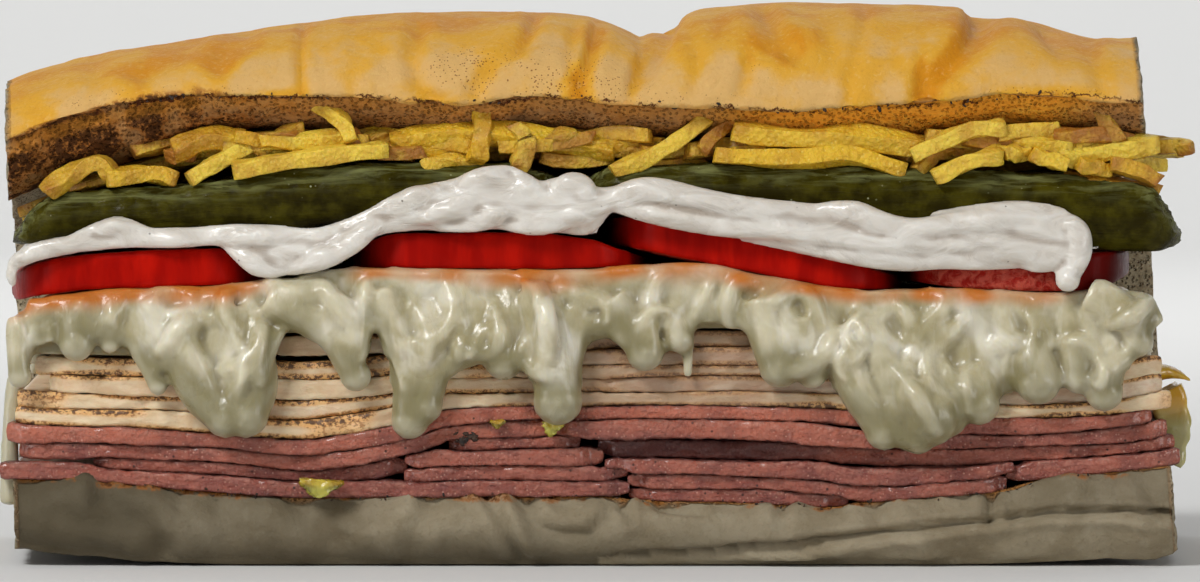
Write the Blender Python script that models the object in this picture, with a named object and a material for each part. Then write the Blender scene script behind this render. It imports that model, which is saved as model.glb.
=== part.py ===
"""A filled submarine sandwich, cut square at both ends, with its open side to the front.

X runs along the roll, -Y is the open side, +Z is up, and the origin is on the table under the middle.
Every length below is in millimetres; MM turns it into the scene's metres.
The roll is one piece with a hinge along its back. Each filling is a loft along X, whose front edge
follows a line of heights and whose back edge lies level in the hinge.
"""

import math

import bmesh
import bpy
from mathutils import Matrix

MM = 0.001

# Overall sizes
HALF_LENGTH = 75.6
HALF_DEPTH = 39.0
FRONT = -36.7
HINGE_FACE = 32.0
FILLING_BACK = 30.0
GAP = 0.4
STATION_STEP = 4.8
GRID_CLEARANCE = 1.0
KNOT_CLEARANCE = 1.2
ROLL_SPANS = 28
ROLL_SETBACK = 3.0
LONG_QUAD = 8.0
SHARP_ANGLE = math.radians(40)

# The cut ends lean in with height and flare towards the back
RIGHT_LEAN = 0.08
LEFT_LEAN = 0.02
END_FLARE = 0.06

# Deli slices
SLICE_THICKNESS = 1.45
THIN_SLICE = 1.3
CRUMPLED_SLICE = 1.2
SHAVED_SLICE = 0.9
THICK_SLICE = 2.0
BACK_THICKNESS = 1.35
BACK_PITCH = 1.7
LOWEST_SLICE_BACK = 11.4
EDGE_ROUND = 0.5
CORNER_RADIUS = 4.0

# Heights of the filling's layers where they meet the hinge
FLOOR_BACK = 10.2
CHEESE_BACK = (29.5, 35.3)
SAUCE_BACK = (40.7, 42.6)
PICKLE_BED_BACK = 43.4
STICKS_BACK_TOP = 47.0

# Heights along the front edge, as (x, z)
FLOOR_LINE = [(-77, 11.3), (-70, 11.3), (-62, 10.7), (-50, 9.7), (-38.6, 8.9), (-12.6, 9.0), (0, 9.1),
              (6, 8.4), (13.4, 8.35), (26.4, 7.8), (31, 7.5), (35.5, 8.3), (45.9, 9.2), (53, 9.7),
              (58.9, 11.3), (65.4, 12.0), (76, 13.1)]
BASE_LINE = [(-76, 2.2), (-62, 0.7), (-45, 0), (45, 0), (62, 0.7), (76, 2.2)]
CROWN_LINE = [(-77, 62.6), (-71, 64.6), (-58, 67.5), (-38.6, 70.5), (-25.6, 71.9), (-6, 72.3), (4, 71.4),
              (9.2, 68.9), (13.4, 70.9), (21, 72.9), (33, 73.4), (52, 72.6), (60, 71.4), (72, 68.4)]
LIP_LINE = [(-77, 55), (-71, 57.2), (-64, 59.4), (-51, 60.7), (-38, 61.4), (-20, 60.2), (-6, 61),
            (18, 59.8), (34, 59.4), (46, 60), (55, 61.4), (65, 60.7), (72, 59.6)]
UNDERSIDE_SLOPE = 0.19

# Each slice: name, row from the bottom, front edge, thickness, and (x, z) of its middle along the front
BEEF_SLICES = [
    ("beef_slice_1", 0, -37.6, THIN_SLICE,
     [(-77, 12.5), (-70, 12.4), (-62, 11.8), (-50, 10.8), (-38.6, 9.95), (-12.6, 10.1), (2.5, 10.3)]),
    ("beef_slice_2", 0, -36.8, CRUMPLED_SLICE, [(6.2, 9.5), (13.4, 9.35), (26.4, 8.8), (30.3, 8.45)]),
    ("beef_slice_3", 1, -37.0, SLICE_THICKNESS, [(-24, 11.7), (-12.6, 12.0), (0.4, 12.0), (2.6, 12.4)]),
    ("beef_slice_4", 1, -37.5, SLICE_THICKNESS,
     [(5.6, 11.2), (13.4, 11.05), (26.4, 10.5), (35.5, 9.6), (45.9, 10.3), (52.4, 10.8)]),
    ("beef_slice_5", 2, -36.0, THIN_SLICE,
     [(-64.8, 13.5), (-49.7, 12.6), (-38.6, 11.6), (-32.1, 12.1), (-26.3, 12.9)]),
    ("beef_slice_6", 2, -37.6, THICK_SLICE, [(-24.1, 13.8), (-19.1, 14.2), (-0.9, 14.4)]),
    ("beef_slice_7", 2, -37.9, SLICE_THICKNESS,
     [(3.3, 13.1), (13.4, 13.0), (26.4, 12.5), (35.5, 11.6), (45.9, 12.1), (53.4, 12.7)]),
    ("beef_slice_8", 2, -37.2, SLICE_THICKNESS, [(54.2, 12.1), (58.9, 12.7), (65.4, 13.1), (75.2, 14.2)]),
    ("beef_slice_9", 3, -35.4, SLICE_THICKNESS,
     [(1.0, 15.3), (13.4, 15.0), (26.4, 14.8), (39.4, 14.2), (52.4, 14.5), (65.4, 14.95), (74.5, 16.0)]),
    ("beef_slice_10", 4, -36.8, SLICE_THICKNESS,
     [(-74.4, 15.1), (-64.6, 15.1), (-51.6, 14.4), (-38.6, 13.3), (-32.1, 14.0), (-25.6, 15.3),
      (-19.1, 17.3), (-5.9, 17.9)]),
    ("beef_slice_11", 4, -37.9, SLICE_THICKNESS, [(-4.6, 17.7), (13.4, 17.9), (26.4, 17.4), (37.4, 16.2)]),
    ("beef_slice_12", 4, -36.4, SLICE_THICKNESS, [(38.6, 16.3), (45.9, 16.1), (65.4, 16.8), (73.5, 17.8)]),
    ("beef_slice_13", 5, -37.5, SLICE_THICKNESS,
     [(-76.1, 17.3), (-64.6, 17.2), (-51.6, 16.5), (-38.6, 15.5), (-32.1, 16.3), (-25.6, 17.4),
      (-19.1, 19.5), (-6.8, 19.9)]),
    ("beef_slice_14", 5, -37.2, SLICE_THICKNESS,
     [(-3.3, 19.9), (13.4, 20.0), (30.3, 19.8), (39.4, 18.6), (52.4, 18.1), (65.4, 18.6), (71.4, 19.5)]),
    ("beef_slice_15", 3, -36.2, SHAVED_SLICE, [(-18.5, 15.95), (-3.0, 16.1)]),
]
TURKEY_SLICES = [
    ("turkey_slice_1", 6, -37.0, SLICE_THICKNESS,
     [(-75, 19.5), (-51.6, 18.6), (-38.6, 17.7), (-32.1, 18.3), (-25.6, 19.5), (-19.1, 21.6), (30.3, 21.8),
      (39.4, 20.6), (52.4, 20.1), (65.4, 20.7), (74, 21.8)]),
    ("turkey_slice_2", 7, -36.4, SLICE_THICKNESS,
     [(-74.8, 21.5), (-51.6, 20.8), (-38.6, 20.2), (-32.1, 20.8), (-25.6, 21.6), (-19.1, 23.5),
      (30.3, 23.7), (39.4, 22.6), (52.4, 22.1), (65.4, 22.8), (72.9, 24)]),
    ("turkey_slice_3", 8, -37.0, SLICE_THICKNESS,
     [(-70.5, 23.8), (-51.6, 23.3), (-38.6, 22.9), (-25.6, 24), (-19.1, 25.4), (30.3, 25.5), (39.4, 24.6),
      (52.4, 24.2), (65.4, 25), (72.8, 26.3)]),
    ("turkey_slice_4", 9, -36.8, SLICE_THICKNESS,
     [(-72.4, 26), (-51.6, 25.6), (-38.6, 25.3), (-25.6, 26.4), (-19.1, 27.3), (30.3, 27.3), (39.4, 26.5),
      (52.4, 26.2), (65.4, 27), (70.6, 28.2)]),
    ("turkey_slice_5", 10, -36.2, SLICE_THICKNESS, [(-41, 28.6), (-19.1, 29.2), (13.4, 29.5), (21, 29.3)]),
]

# Cheese: its underside and top along the front, and the line where its drips end
CHEESE_UNDER = [(-75.7, 27.4), (-51.6, 27.0), (-43.2, 27.4), (-41.7, 30.2), (-19, 30.4), (0.4, 30.6),
                (21.9, 30.7), (23.5, 28.9), (52.4, 27.8), (70.6, 29.9), (73, 30.3)]
CHEESE_TOP = [(-77, 33.6), (-64.6, 35.5), (-51.6, 35.9), (-43.8, 36.7), (-38.6, 37.2), (-32, 38.4),
              (-19, 38.1), (-5, 38.1), (7, 38.8), (13.4, 38.9), (26.4, 36.4), (36.8, 35.4), (47, 35.7),
              (59, 35.1), (70, 35.4), (73, 34.5)]
DRIP_LINE = [(-75.7, 24.5), (-73.5, 24), (-71.5, 26.8), (-60, 26.8), (-57, 25), (-53, 20.5),
             (-46.7, 16.7), (-43.5, 19), (-41.5, 25), (-39.5, 29), (-36.5, 28.5), (-31.5, 23.7),
             (-29.3, 28), (-27.5, 20.5), (-24.5, 17.3), (-21, 18.8), (-15, 26), (-11, 25.5), (-8, 21),
             (-5.5, 19.4), (-2.5, 21.5),
             (1.5, 26.5), (6, 25.5), (13.5, 29.9), (18, 28.5), (24, 23.3), (29, 22.5), (34, 17), (42.5, 15),
             (47, 17.8), (52, 22), (61, 21.8), (64.5, 21.3), (68, 23.5), (71, 28.5), (73, 29.5)]
APRON_INNER = -38.3
APRON_OUTER = -41.2
CHEESE_CORNER = 2.5

# Tomato slices: name, (x, z) of the lower and the upper front edge, and of both edges at the back
TOMATO_SLICES = [
    ("tomato_slice_1", [(-77, 34.2), (-71, 35.5), (-64.6, 36.1), (-51.6, 36.5), (-43.5, 37.3)],
     [(-77, 36.7), (-74.5, 38.7), (-71, 39.9), (-64.6, 40.8), (-49.7, 41.4), (-43.9, 39.6), (-43.5, 38.6)],
     [(-77, 35.7), (-43.5, 35.7)], [(-77, 40.2), (-47, 40.2), (-43.5, 38.8)]),
    ("tomato_slice_2", [(-32, 39.1), (-19, 38.7), (-5, 38.7), (7.2, 39.4)],
     [(-32, 41.2), (-28.9, 42.6), (-25.6, 43.3), (-10, 43.5), (-1, 42.6), (3, 41.3), (7.2, 40.2)],
     [(-32, 35.7), (7.2, 35.7)], [(-32, 40.2), (-6, 40.2), (0, 37.4), (7.2, 37.2)]),
    ("tomato_slice_3", [(1.3, 42.6), (7, 41), (13.4, 39.6), (26.4, 37.1), (33, 36.1), (40, 36)],
     [(1.3, 46), (13.4, 44.3), (20, 43.3), (26.4, 42), (33, 40), (37.5, 37.9), (40, 36.9)],
     [(1.3, 37.8), (8, 37.8), (13.4, 35.7), (40, 35.7)], [(1.3, 40.2), (40, 40.2)]),
    ("tomato_slice_4", [(40.5, 37.2), (46, 36.4), (59, 35.8), (65, 36.2), (70, 38.2)],
     [(40.5, 38.5), (47, 39.2), (59, 40), (66, 40.9), (70, 41)],
     [(40.5, 35.7), (70, 35.7)], [(40.5, 40.2), (70, 40.2)]),
]
TOMATO_FRONT = -38.0
TOMATO_BULGE = 0.5

# Sauce: where it lies along the front, and the top of the part that climbs over the pickles
SAUCE_UNDER = [(-77.5, 37.2), (-74.5, 39.2), (-71, 40.4), (-64.6, 41.2), (-49.7, 41.8), (-44.3, 40.2),
               (-42.9, 38), (-33.2, 39.4), (-32.3, 41.6), (-28.9, 43), (-25.6, 43.7), (-10, 43.9),
               (-1, 43.1), (0.6, 43.6), (1, 46.4), (13.4, 44.8), (20, 43.8), (26.4, 42.5), (33, 40.6),
               (36, 39.1), (40, 39), (47, 39.7), (59, 40.5), (66, 41.4)]
SAUCE_TOP = [(-77.5, 39.5), (-73.7, 41.9), (-69.8, 42.6), (-65.5, 44.8), (-62, 46), (-58, 44.2),
             (-45, 44.8), (-37, 44.1), (-30, 46.5), (-25.6, 49), (-17, 51), (-11.3, 52.6), (-8, 50),
             (-3.5, 51.3), (-0.5, 49.4), (9.5, 50.3), (17, 48), (30, 46.9), (34, 47.7), (37, 45.9),
             (43, 44.9),
             (46, 46.2), (60, 46.9), (63.4, 45.6), (66, 42.1)]
SAUCE_FRONT = -40.0
SAUCE_INNER = -37.7
SAUCE_CORNER = 2.0

# Pickles: the (x, z) bed they lie on, and each slice's upper edge, which also gives where it ends
PICKLE_BED = [(-75.7, 41.7), (-69, 43.3), (-60, 43.6), (-45, 43.8), (-30, 46.1), (-5.5, 46.3), (-1.6, 48.3),
              (2, 48.6), (14, 46.9), (30, 45), (50, 43), (62, 42.8), (75.8, 42.6)]
PICKLES = [
    ("pickle_slice_1", [(-75.7, 43.5), (-73, 47.1), (-69.8, 48.4), (-55, 49.5), (-38.6, 51.6), (-27, 52.5),
                        (-12.6, 52.3), (-5.5, 50.6)]),
    ("pickle_slice_2", [(-1.6, 50.4), (3, 52), (13.4, 52.3), (46, 51.4), (68, 50.3), (72, 49), (74.4, 46.6),
                        (75.8, 44.2)]),
]
PICKLE_FRONT = -37.2
PICKLE_REAR = -3.0
PICKLE_CORNER = 6.0

# Potato sticks: the top of their heap along the front
STICKS_TOP = [(-72, 51.5), (-64, 54.2), (-50, 56.4), (-38, 57), (-10, 57.2), (10, 56.6), (30, 57), (50, 57),
              (62, 56), (73, 54.2)]
STICKS_UNDER = [(-72, 49.2), (-55, 50.1), (-38.6, 52.1), (-27, 53), (-12.6, 52.9), (-4, 52.2), (3, 52.5),
                (13.4, 52.8), (46, 51.9), (68, 50.8), (73, 50)]

# Pepper: a chip at the front, and at the right-hand end a curved piece of ring and its pointed tip
CHIP_CENTRE = (-35.8, -40.2, 10.2)
CHIP_SIZE = (6.4, 3.2, 2.3)
RING_CENTRE = (65.9, -27, 17.8)
RING_RADIUS = 12.0
RING_WALL = 1.6
RING_WIDTH = 12.0
RING_SPAN = 46
TIP_CENTRE = (75.8, -21, 24.2)
TIP_SIZE = (4.8, 7.0, 2.6)
TIP_TAPER = 0.3

# Colours: base colour and roughness
CRUST = ("crust", (0.62, 0.35, 0.12), 0.55)
BEEF = ("beef", (0.42, 0.16, 0.15), 0.4)
TURKEY = ("turkey", (0.78, 0.62, 0.47), 0.45)
CHEESE = ("cheese", (0.72, 0.68, 0.48), 0.3)
TOMATO = ("tomato", (0.50, 0.02, 0.01), 0.25)
SAUCE = ("sauce", (0.80, 0.76, 0.70), 0.3)
PICKLE = ("pickle", (0.07, 0.10, 0.02), 0.25)
POTATO = ("potato", (0.72, 0.46, 0.07), 0.5)
PEPPER = ("pepper", (0.60, 0.50, 0.05), 0.3)


def line(knots):
    """A smooth height along X through its knots that never swings past them."""
    xs = [k[0] for k in knots]
    zs = [k[1] for k in knots]
    steps = [(zs[i + 1] - zs[i]) / (xs[i + 1] - xs[i]) for i in range(len(knots) - 1)]
    tangents = [steps[0]]
    for before, after in zip(steps, steps[1:]):
        level = before * after <= 0
        tangents.append(0.0 if level else 2 * before * after / (before + after))
    tangents.append(steps[-1])

    def height(x):
        x = min(max(x, xs[0]), xs[-1])
        i = max(j for j in range(len(xs) - 1) if xs[j] <= x)
        width = xs[i + 1] - xs[i]
        t = (x - xs[i]) / width
        return ((2 * t**3 - 3 * t**2 + 1) * zs[i] + (t**3 - 2 * t**2 + t) * width * tangents[i]
                + (3 * t**2 - 2 * t**3) * zs[i + 1] + (t**3 - t**2) * width * tangents[i + 1])

    return height


floor_line = line(FLOOR_LINE)
base_line = line(BASE_LINE)
crown_line = line(CROWN_LINE)
lip_line = line(LIP_LINE)
pickle_bed = line(PICKLE_BED)


def settle(front_z, back_z, y):
    """The height at depth y of a layer that is at front_z on the open side and back_z in the hinge."""
    share = (y - FRONT) / (FILLING_BACK - FRONT)
    return front_z + (back_z - front_z) * share


def underside(x, y):
    """The cut face under the top half of the roll, which is propped open at the front."""
    return lip_line(x) - UNDERSIDE_SLOPE * (y - FRONT)


def material_of(finish):
    """The named material, made once: its colour and roughness."""
    name, colour, roughness = finish
    material = bpy.data.materials.get(name) or bpy.data.materials.new(name)
    material.use_nodes = True
    shader = material.node_tree.nodes["Principled BSDF"]
    shader.inputs["Base Color"].default_value = (*colour, 1)
    shader.inputs["Roughness"].default_value = roughness
    return material


def new_object(name, bm, finish):
    """Puts a finished bmesh into the sandwich's collection as one named object."""
    bmesh.ops.recalc_face_normals(bm, faces=bm.faces)
    bmesh.ops.scale(bm, vec=(MM, MM, MM), verts=bm.verts)
    mesh = bpy.data.meshes.new(name)
    bm.to_mesh(mesh)
    bm.free()
    mesh.shade_smooth()
    mesh.set_sharp_from_angle(angle=SHARP_ANGLE)
    made = bpy.data.objects.new(name, mesh)
    mesh.materials.append(material_of(finish))
    bpy.data.collections["submarine_sandwich"].objects.link(made)
    return made


def split_alike(bm, before, after):
    """Splits the long quads between two stations along one diagonal, so that stacked layers bend alike."""
    for i in range(len(before)):
        j = (i + 1) % len(before)
        front, back = (i, j) if before[i].co.y < before[j].co.y else (j, i)
        if before[back].co.y - before[front].co.y > LONG_QUAD:
            bmesh.ops.connect_verts(bm, verts=[before[back], after[front]])


def loft(name, stations, section, finish):
    """Extrudes one closed section along X. section(station) gives its (x, y, z) points at a station."""
    bm = bmesh.new()
    cap = bm.faces.new([bm.verts.new(point) for point in section(stations[0])])
    first_cap = cap
    for station in stations[1:]:
        before = cap
        outline = list(before.verts)
        made = bmesh.ops.extrude_face_region(bm, geom=[before])["geom"]
        cap = next(g for g in made if isinstance(g, bmesh.types.BMFace))
        for vert, point in zip(cap.verts, section(station)):
            vert.co = point
        split_alike(bm, outline, list(cap.verts))
        if before is not first_cap and before.is_valid:
            bmesh.ops.delete(bm, geom=[before], context="FACES_ONLY")
    return new_object(name, bm, finish)


def stations_between(start, end, near_ends=(0.6, 2.2)):
    """Places along X on one grid that all fillings share, with closer ones near both ends of the piece."""
    ends = [start, end, *(start + d for d in near_ends), *(end - d for d in near_ends)]
    clear = near_ends[-1] + GRID_CLEARANCE
    first, last = start + clear, end - clear
    numbers = range(math.ceil(first / STATION_STEP), math.floor(last / STATION_STEP) + 1)
    return sorted(ends + [STATION_STEP * i for i in numbers])


def stations_with(knots, start, end):
    """The shared grid between two ends, with a piece's own knots in place of grid places beside them."""
    kept = {x for x, _ in knots if start <= x <= end} | {start, end}
    grid = stations_between(start, end)
    return sorted(kept | {x for x in grid if min(abs(x - k) for k in kept) > KNOT_CLEARANCE})


def corner_setback(x, start, end, radius):
    """How far the front edge is set back at x by the rounded corners of a slice."""
    inside = min(x - start, end - x)
    if inside >= radius:
        return 0.0
    return radius - math.sqrt(max(0.0, radius**2 - (radius - inside) ** 2))


def roll_section(share):
    """The roll cut across at a share of its length: crust round the outside, crumb on the inside."""
    x = -HALF_LENGTH + (2 * HALF_LENGTH - ROLL_SETBACK) * share
    base, floor, crown, lip = base_line(x), floor_line(x), crown_line(x), lip_line(x)
    side, rise = floor - base, crown - lip
    crust = [
        (-37.0, floor - 0.2), (-38.7, floor - 0.35 * side), (-38.5, floor - 0.65 * side),
        (-36.6, base + 1.1), (-33.0, base), (28.0, base), (34.5, base + 2.2), (38.0, base + 8),
        (HALF_DEPTH, 20), (38.2, 32), (38.8, 43), (37.3, 0.74 * crown), (32.5, 0.87 * crown),
        (23.5, 0.95 * crown), (9, 0.992 * crown),
        (-7, crown), (-20, lip + 0.92 * rise), (-28.5, lip + 0.75 * rise), (-34, lip + 0.48 * rise),
        (-37, lip + 0.2 * rise), (-37.7, lip + 0.1),
    ]
    crumb = [(y, underside(x, y)) for y in (FRONT, -12, 12)]
    crumb += [(27, underside(x, 27)), (HINGE_FACE, 0.6 * underside(x, 27) + 16), (HINGE_FACE + 0.6, 30),
              (HINGE_FACE, 15.5), (HINGE_FACE - 2, FLOOR_BACK)]
    crumb += [(y, settle(floor, FLOOR_BACK, y)) for y in (0, FRONT)]
    points = []
    for y, z in crust + crumb:
        flare = END_FLARE * (y + HALF_DEPTH)
        left = -HALF_LENGTH - LEFT_LEAN * z - flare
        right = HALF_LENGTH - RIGHT_LEAN * z + flare
        points.append((left + (right - left) * share, y, z))
    return points


def build_roll():
    """The hinged roll: both halves and the back that joins them, in one piece."""
    shares = [i / ROLL_SPANS for i in range(ROLL_SPANS + 1)]
    loft("roll", shares, roll_section, CRUST)


def build_slice(name, row, front, thickness, knots, finish):
    """One deli slice: its front edge follows its knots, and its back edge lies level in the hinge."""
    middle = line(knots)
    start, end = knots[0][0], knots[-1][0]
    back = LOWEST_SLICE_BACK + BACK_PITCH * row

    def section(x):
        edge = front + corner_setback(x, start, end, CORNER_RADIUS)
        half = thickness / 2
        z = settle(middle(x), back, edge)
        inner = settle(middle(x), back, edge + EDGE_ROUND)
        return [(x, edge, z), (x, edge + EDGE_ROUND, inner - half),
                (x, FILLING_BACK - 1, back - BACK_THICKNESS / 2),
                (x, FILLING_BACK - 1, back + BACK_THICKNESS / 2), (x, edge + EDGE_ROUND, inner + half)]

    loft(name, stations_between(start, end), section, finish)


def build_cheese():
    """Melted cheese: a layer over the turkey whose front edge has run down in drips."""
    under, top, drip = line(CHEESE_UNDER), line(CHEESE_TOP), line(DRIP_LINE)
    start, end = DRIP_LINE[0][0], DRIP_LINE[-1][0]

    def section(x):
        low, high = under(x), top(x)
        end_of_drip = min(drip(x), low - 0.3)
        hang = low - end_of_drip
        setback = corner_setback(x, start, end, CHEESE_CORNER)
        outer, inner = APRON_OUTER + setback, APRON_INNER + setback
        return [(x, FILLING_BACK, CHEESE_BACK[0]),
                (x, inner + 1.2, settle(low, CHEESE_BACK[0], inner + 1.2)), (x, inner, low - 0.12 * hang),
                (x, inner, end_of_drip + 0.4), (x, (inner + outer) / 2, end_of_drip),
                (x, outer + 0.3, end_of_drip + 1.1),
                (x, outer, low + 0.15 * (high - low)), (x, outer + 1.4, high - 1.3),
                (x, inner + 1.5, settle(high, CHEESE_BACK[1], inner + 1.5)),
                (x, FILLING_BACK, CHEESE_BACK[1])]

    loft("melted_cheese", stations_with(DRIP_LINE + CHEESE_UNDER, start, end), section, CHEESE)


def build_tomato(name, lower_knots, upper_knots, lower_back_knots, upper_back_knots):
    """One round tomato slice, lying between cheese and sauce, with its skin towards the front."""
    lower, upper = line(lower_knots), line(upper_knots)
    lower_back, upper_back = line(lower_back_knots), line(upper_back_knots)
    start, end = lower_knots[0][0], lower_knots[-1][0]
    middle_x, half_width = (start + end) / 2, (end - start) / 2
    middle_y = (TOMATO_FRONT + FILLING_BACK) / 2
    half_depth = (FILLING_BACK - TOMATO_FRONT) / 2

    def section(x):
        reach = max(0.12, math.sqrt(max(0.0, 1 - (abs(x - middle_x) / half_width) ** 2.6)))
        front, back = middle_y - half_depth * reach, middle_y + half_depth * reach
        points = []
        for y, high in ((front, 0.3), (front + TOMATO_BULGE, 0), (back, 0), (back, 1),
                        (front + TOMATO_BULGE, 1), (front, 0.7)):
            low_z = settle(lower(x), lower_back(x), y)
            high_z = settle(upper(x), upper_back(x), y)
            points.append((x, y, low_z + (high_z - low_z) * high))
        return points

    loft(name, stations_between(start, end), section, TOMATO)


def build_sauce():
    """White sauce: a layer over the tomato whose thick front edge climbs over the pickles."""
    under, top = line(SAUCE_UNDER), line(SAUCE_TOP)
    start, end = SAUCE_UNDER[0][0], SAUCE_UNDER[-1][0]

    def section(x):
        low, high = under(x), top(x)
        over = min(pickle_bed(x) - GAP, high)
        setback = corner_setback(x, start, end, SAUCE_CORNER)
        front, inner = SAUCE_FRONT + setback, SAUCE_INNER + setback
        return [(x, FILLING_BACK, SAUCE_BACK[0]), (x, inner, settle(low, SAUCE_BACK[0], inner)),
                (x, front + 0.5, low + 0.3), (x, front, 0.55 * low + 0.45 * high),
                (x, front + 0.9, high - 0.3), (x, inner - 0.6, high), (x, inner, over - 0.1),
                (x, inner + 1, over - 0.3), (x, FILLING_BACK, SAUCE_BACK[1])]

    loft("white_sauce", stations_with(SAUCE_UNDER + SAUCE_TOP, start, end), section, SAUCE)


def build_pickle(name, upper_knots):
    """One long pickle slice with its rounded skin side to the front and its cut side to the back."""
    upper = line(upper_knots)
    start, end = upper_knots[0][0], upper_knots[-1][0]

    def section(x):
        setback = corner_setback(x, start, end, PICKLE_CORNER)
        points = []
        for y, high in ((1.5, 0), (0.3, 0.25), (0, 0.5), (1.0, 0.8), (3.5, 1)):
            y += PICKLE_FRONT + setback
            low_z = settle(pickle_bed(x), PICKLE_BED_BACK, y)
            points.append((x, y, low_z + (upper(x) - low_z) * high))
        rear = PICKLE_REAR - setback
        points += [(x, rear, upper(x) - 0.3), (x, rear, settle(pickle_bed(x), PICKLE_BED_BACK, rear))]
        return points

    loft(name, stations_between(start, end, (0.5, 1.5, 3.5)), section, PICKLE)


def build_potato_sticks():
    """The heap of potato sticks between the pickles and the top of the roll, filled out behind them."""
    under, top = line(STICKS_UNDER), line(STICKS_TOP)
    start, end = STICKS_UNDER[0][0], STICKS_UNDER[-1][0]

    def section(x):
        low, high = under(x), top(x)
        roof = [(y, min(underside(x, y) - GAP, high)) for y in (-33.5, -20, 0, 27)]
        points = [(x, -34.5, low + 0.1), (x, -36.2, 0.5 * (low + min(high, underside(x, -36.2))))]
        points += [(x, y, z) for y, z in roof]
        rear = PICKLE_REAR + 1.2
        rear_low = settle(pickle_bed(x), PICKLE_BED_BACK, rear) + 0.2
        points += [(x, 27, PICKLE_BED_BACK + 0.2), (x, rear, rear_low), (x, rear - GAP, low)]
        return points

    loft("potato_sticks", stations_between(start, end), section, POTATO)


def build_pepper_chip():
    """A small chip of green pepper with rounded edges, pressed out of the filling at the front."""
    bm = bmesh.new()
    bmesh.ops.create_cube(bm, size=1)
    bmesh.ops.scale(bm, vec=CHIP_SIZE, verts=bm.verts)
    for vert in bm.verts:
        if vert.co.z < 0:
            vert.co.x *= 0.7
    bmesh.ops.bevel(bm, geom=bm.edges[:], offset=0.2 * CHIP_SIZE[2], affect="EDGES", segments=2,
                    profile=0.5, material=-1)
    bmesh.ops.translate(bm, vec=CHIP_CENTRE, verts=bm.verts)
    new_object("pepper_chip", bm, PEPPER)


def build_pepper_ring():
    """A piece of yellow pepper ring that stands in the right-hand end, and the pointed tip above it."""
    bm = bmesh.new()
    corners = [(RING_RADIUS - RING_WALL, 0), (RING_RADIUS, 0), (RING_RADIUS, RING_WIDTH),
               (RING_RADIUS - RING_WALL, RING_WIDTH)]
    profile = bm.faces.new([bm.verts.new((r, y, 0)) for r, y in corners])
    bmesh.ops.spin(bm, geom=[profile], axis=(0, 1, 0), angle=math.radians(RING_SPAN), steps=8)
    bmesh.ops.rotate(bm, verts=bm.verts, matrix=Matrix.Rotation(math.radians(-RING_SPAN / 2), 3, "Y"))
    bmesh.ops.translate(bm, vec=RING_CENTRE, verts=bm.verts)
    new_object("pepper_ring", bm, PEPPER)

    bm = bmesh.new()
    bmesh.ops.create_cube(bm, size=1)
    bmesh.ops.scale(bm, vec=TIP_SIZE, verts=bm.verts)
    for vert in bm.verts:
        if vert.co.x > 0:
            vert.co.y *= TIP_TAPER
            vert.co.z = vert.co.z * TIP_TAPER - 0.4
    bmesh.ops.bevel(bm, geom=bm.edges[:], offset=0.12 * TIP_SIZE[2], affect="EDGES", segments=2,
                    profile=0.5, material=-1)
    bmesh.ops.translate(bm, vec=TIP_CENTRE, verts=bm.verts)
    new_object("pepper_tip", bm, PEPPER)


def clear_scene():
    for old in list(bpy.data.objects):
        bpy.data.objects.remove(old)
    bpy.context.scene.collection.children.link(bpy.data.collections.new("submarine_sandwich"))


def main():
    clear_scene()
    build_roll()
    for name, row, front, thickness, knots in BEEF_SLICES:
        build_slice(name, row, front, thickness, knots, BEEF)
    for name, row, front, thickness, knots in TURKEY_SLICES:
        build_slice(name, row, front, thickness, knots, TURKEY)
    build_cheese()
    for name, *edges in TOMATO_SLICES:
        build_tomato(name, *edges)
    build_sauce()
    for name, upper in PICKLES:
        build_pickle(name, upper)
    build_potato_sticks()
    build_pepper_chip()
    build_pepper_ring()


main()
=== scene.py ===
# %% [markdown]
# # A filled submarine sandwich
# The sandwich is a hinged roll that is cut square at both ends. Its open side faces the camera and shows
# every layer: beef, turkey, melted cheese, tomato, white sauce, pickle and potato sticks. Each layer is
# modelled here as its own pieces, in the places that the plain solids of the frame give.

# %% Load the frame
import math
import random
from bisect import bisect_right

import bmesh
import bpy
import numpy as np
from mathutils import Matrix, Vector, noise


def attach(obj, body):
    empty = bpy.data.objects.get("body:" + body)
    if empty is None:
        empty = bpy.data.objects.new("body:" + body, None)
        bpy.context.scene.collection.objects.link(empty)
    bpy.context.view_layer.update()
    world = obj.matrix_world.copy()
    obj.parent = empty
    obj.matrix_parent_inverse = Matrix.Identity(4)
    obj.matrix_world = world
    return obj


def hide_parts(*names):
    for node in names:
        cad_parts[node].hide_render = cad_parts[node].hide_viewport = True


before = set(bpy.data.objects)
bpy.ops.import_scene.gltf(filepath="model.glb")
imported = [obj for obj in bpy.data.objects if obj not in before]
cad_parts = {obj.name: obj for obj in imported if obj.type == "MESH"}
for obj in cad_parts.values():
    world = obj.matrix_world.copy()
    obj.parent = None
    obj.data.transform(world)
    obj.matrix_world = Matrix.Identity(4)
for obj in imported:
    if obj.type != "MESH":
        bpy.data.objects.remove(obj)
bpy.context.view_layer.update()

# %% [markdown]
# ## Camera, floor and light
# The photograph was taken with a long lens, almost level with the food, so the layers show as straight bands.
# A camera 1.2 m in front of the open side, about a degree and a half up, gives the same view. The floor
# sweeps up behind the food, so no horizon shows. A soft light high on the left is the main one, as the
# highlights on the cheese say. Weak ones on both sides open the shadows, one behind draws the rim, and one
# lights the wall.

# %% Camera
MM = 0.001
GRID_STEP = 0.13  # millimetres on the open side for one step of the drawing grid
GRID_ORIGIN = (597, 567)  # the grid's column over the frame's origin and its row at the table
GRID_MIDDLE = (600, 291)  # the grid's column and row in the middle of the view
OPEN_SIDE = -0.038
VIEW_DISTANCE = 1.2
VIEW_RISE = math.radians(1.6)
VIEW_WIDTH = 0.156
SENSOR = 36.0


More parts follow.
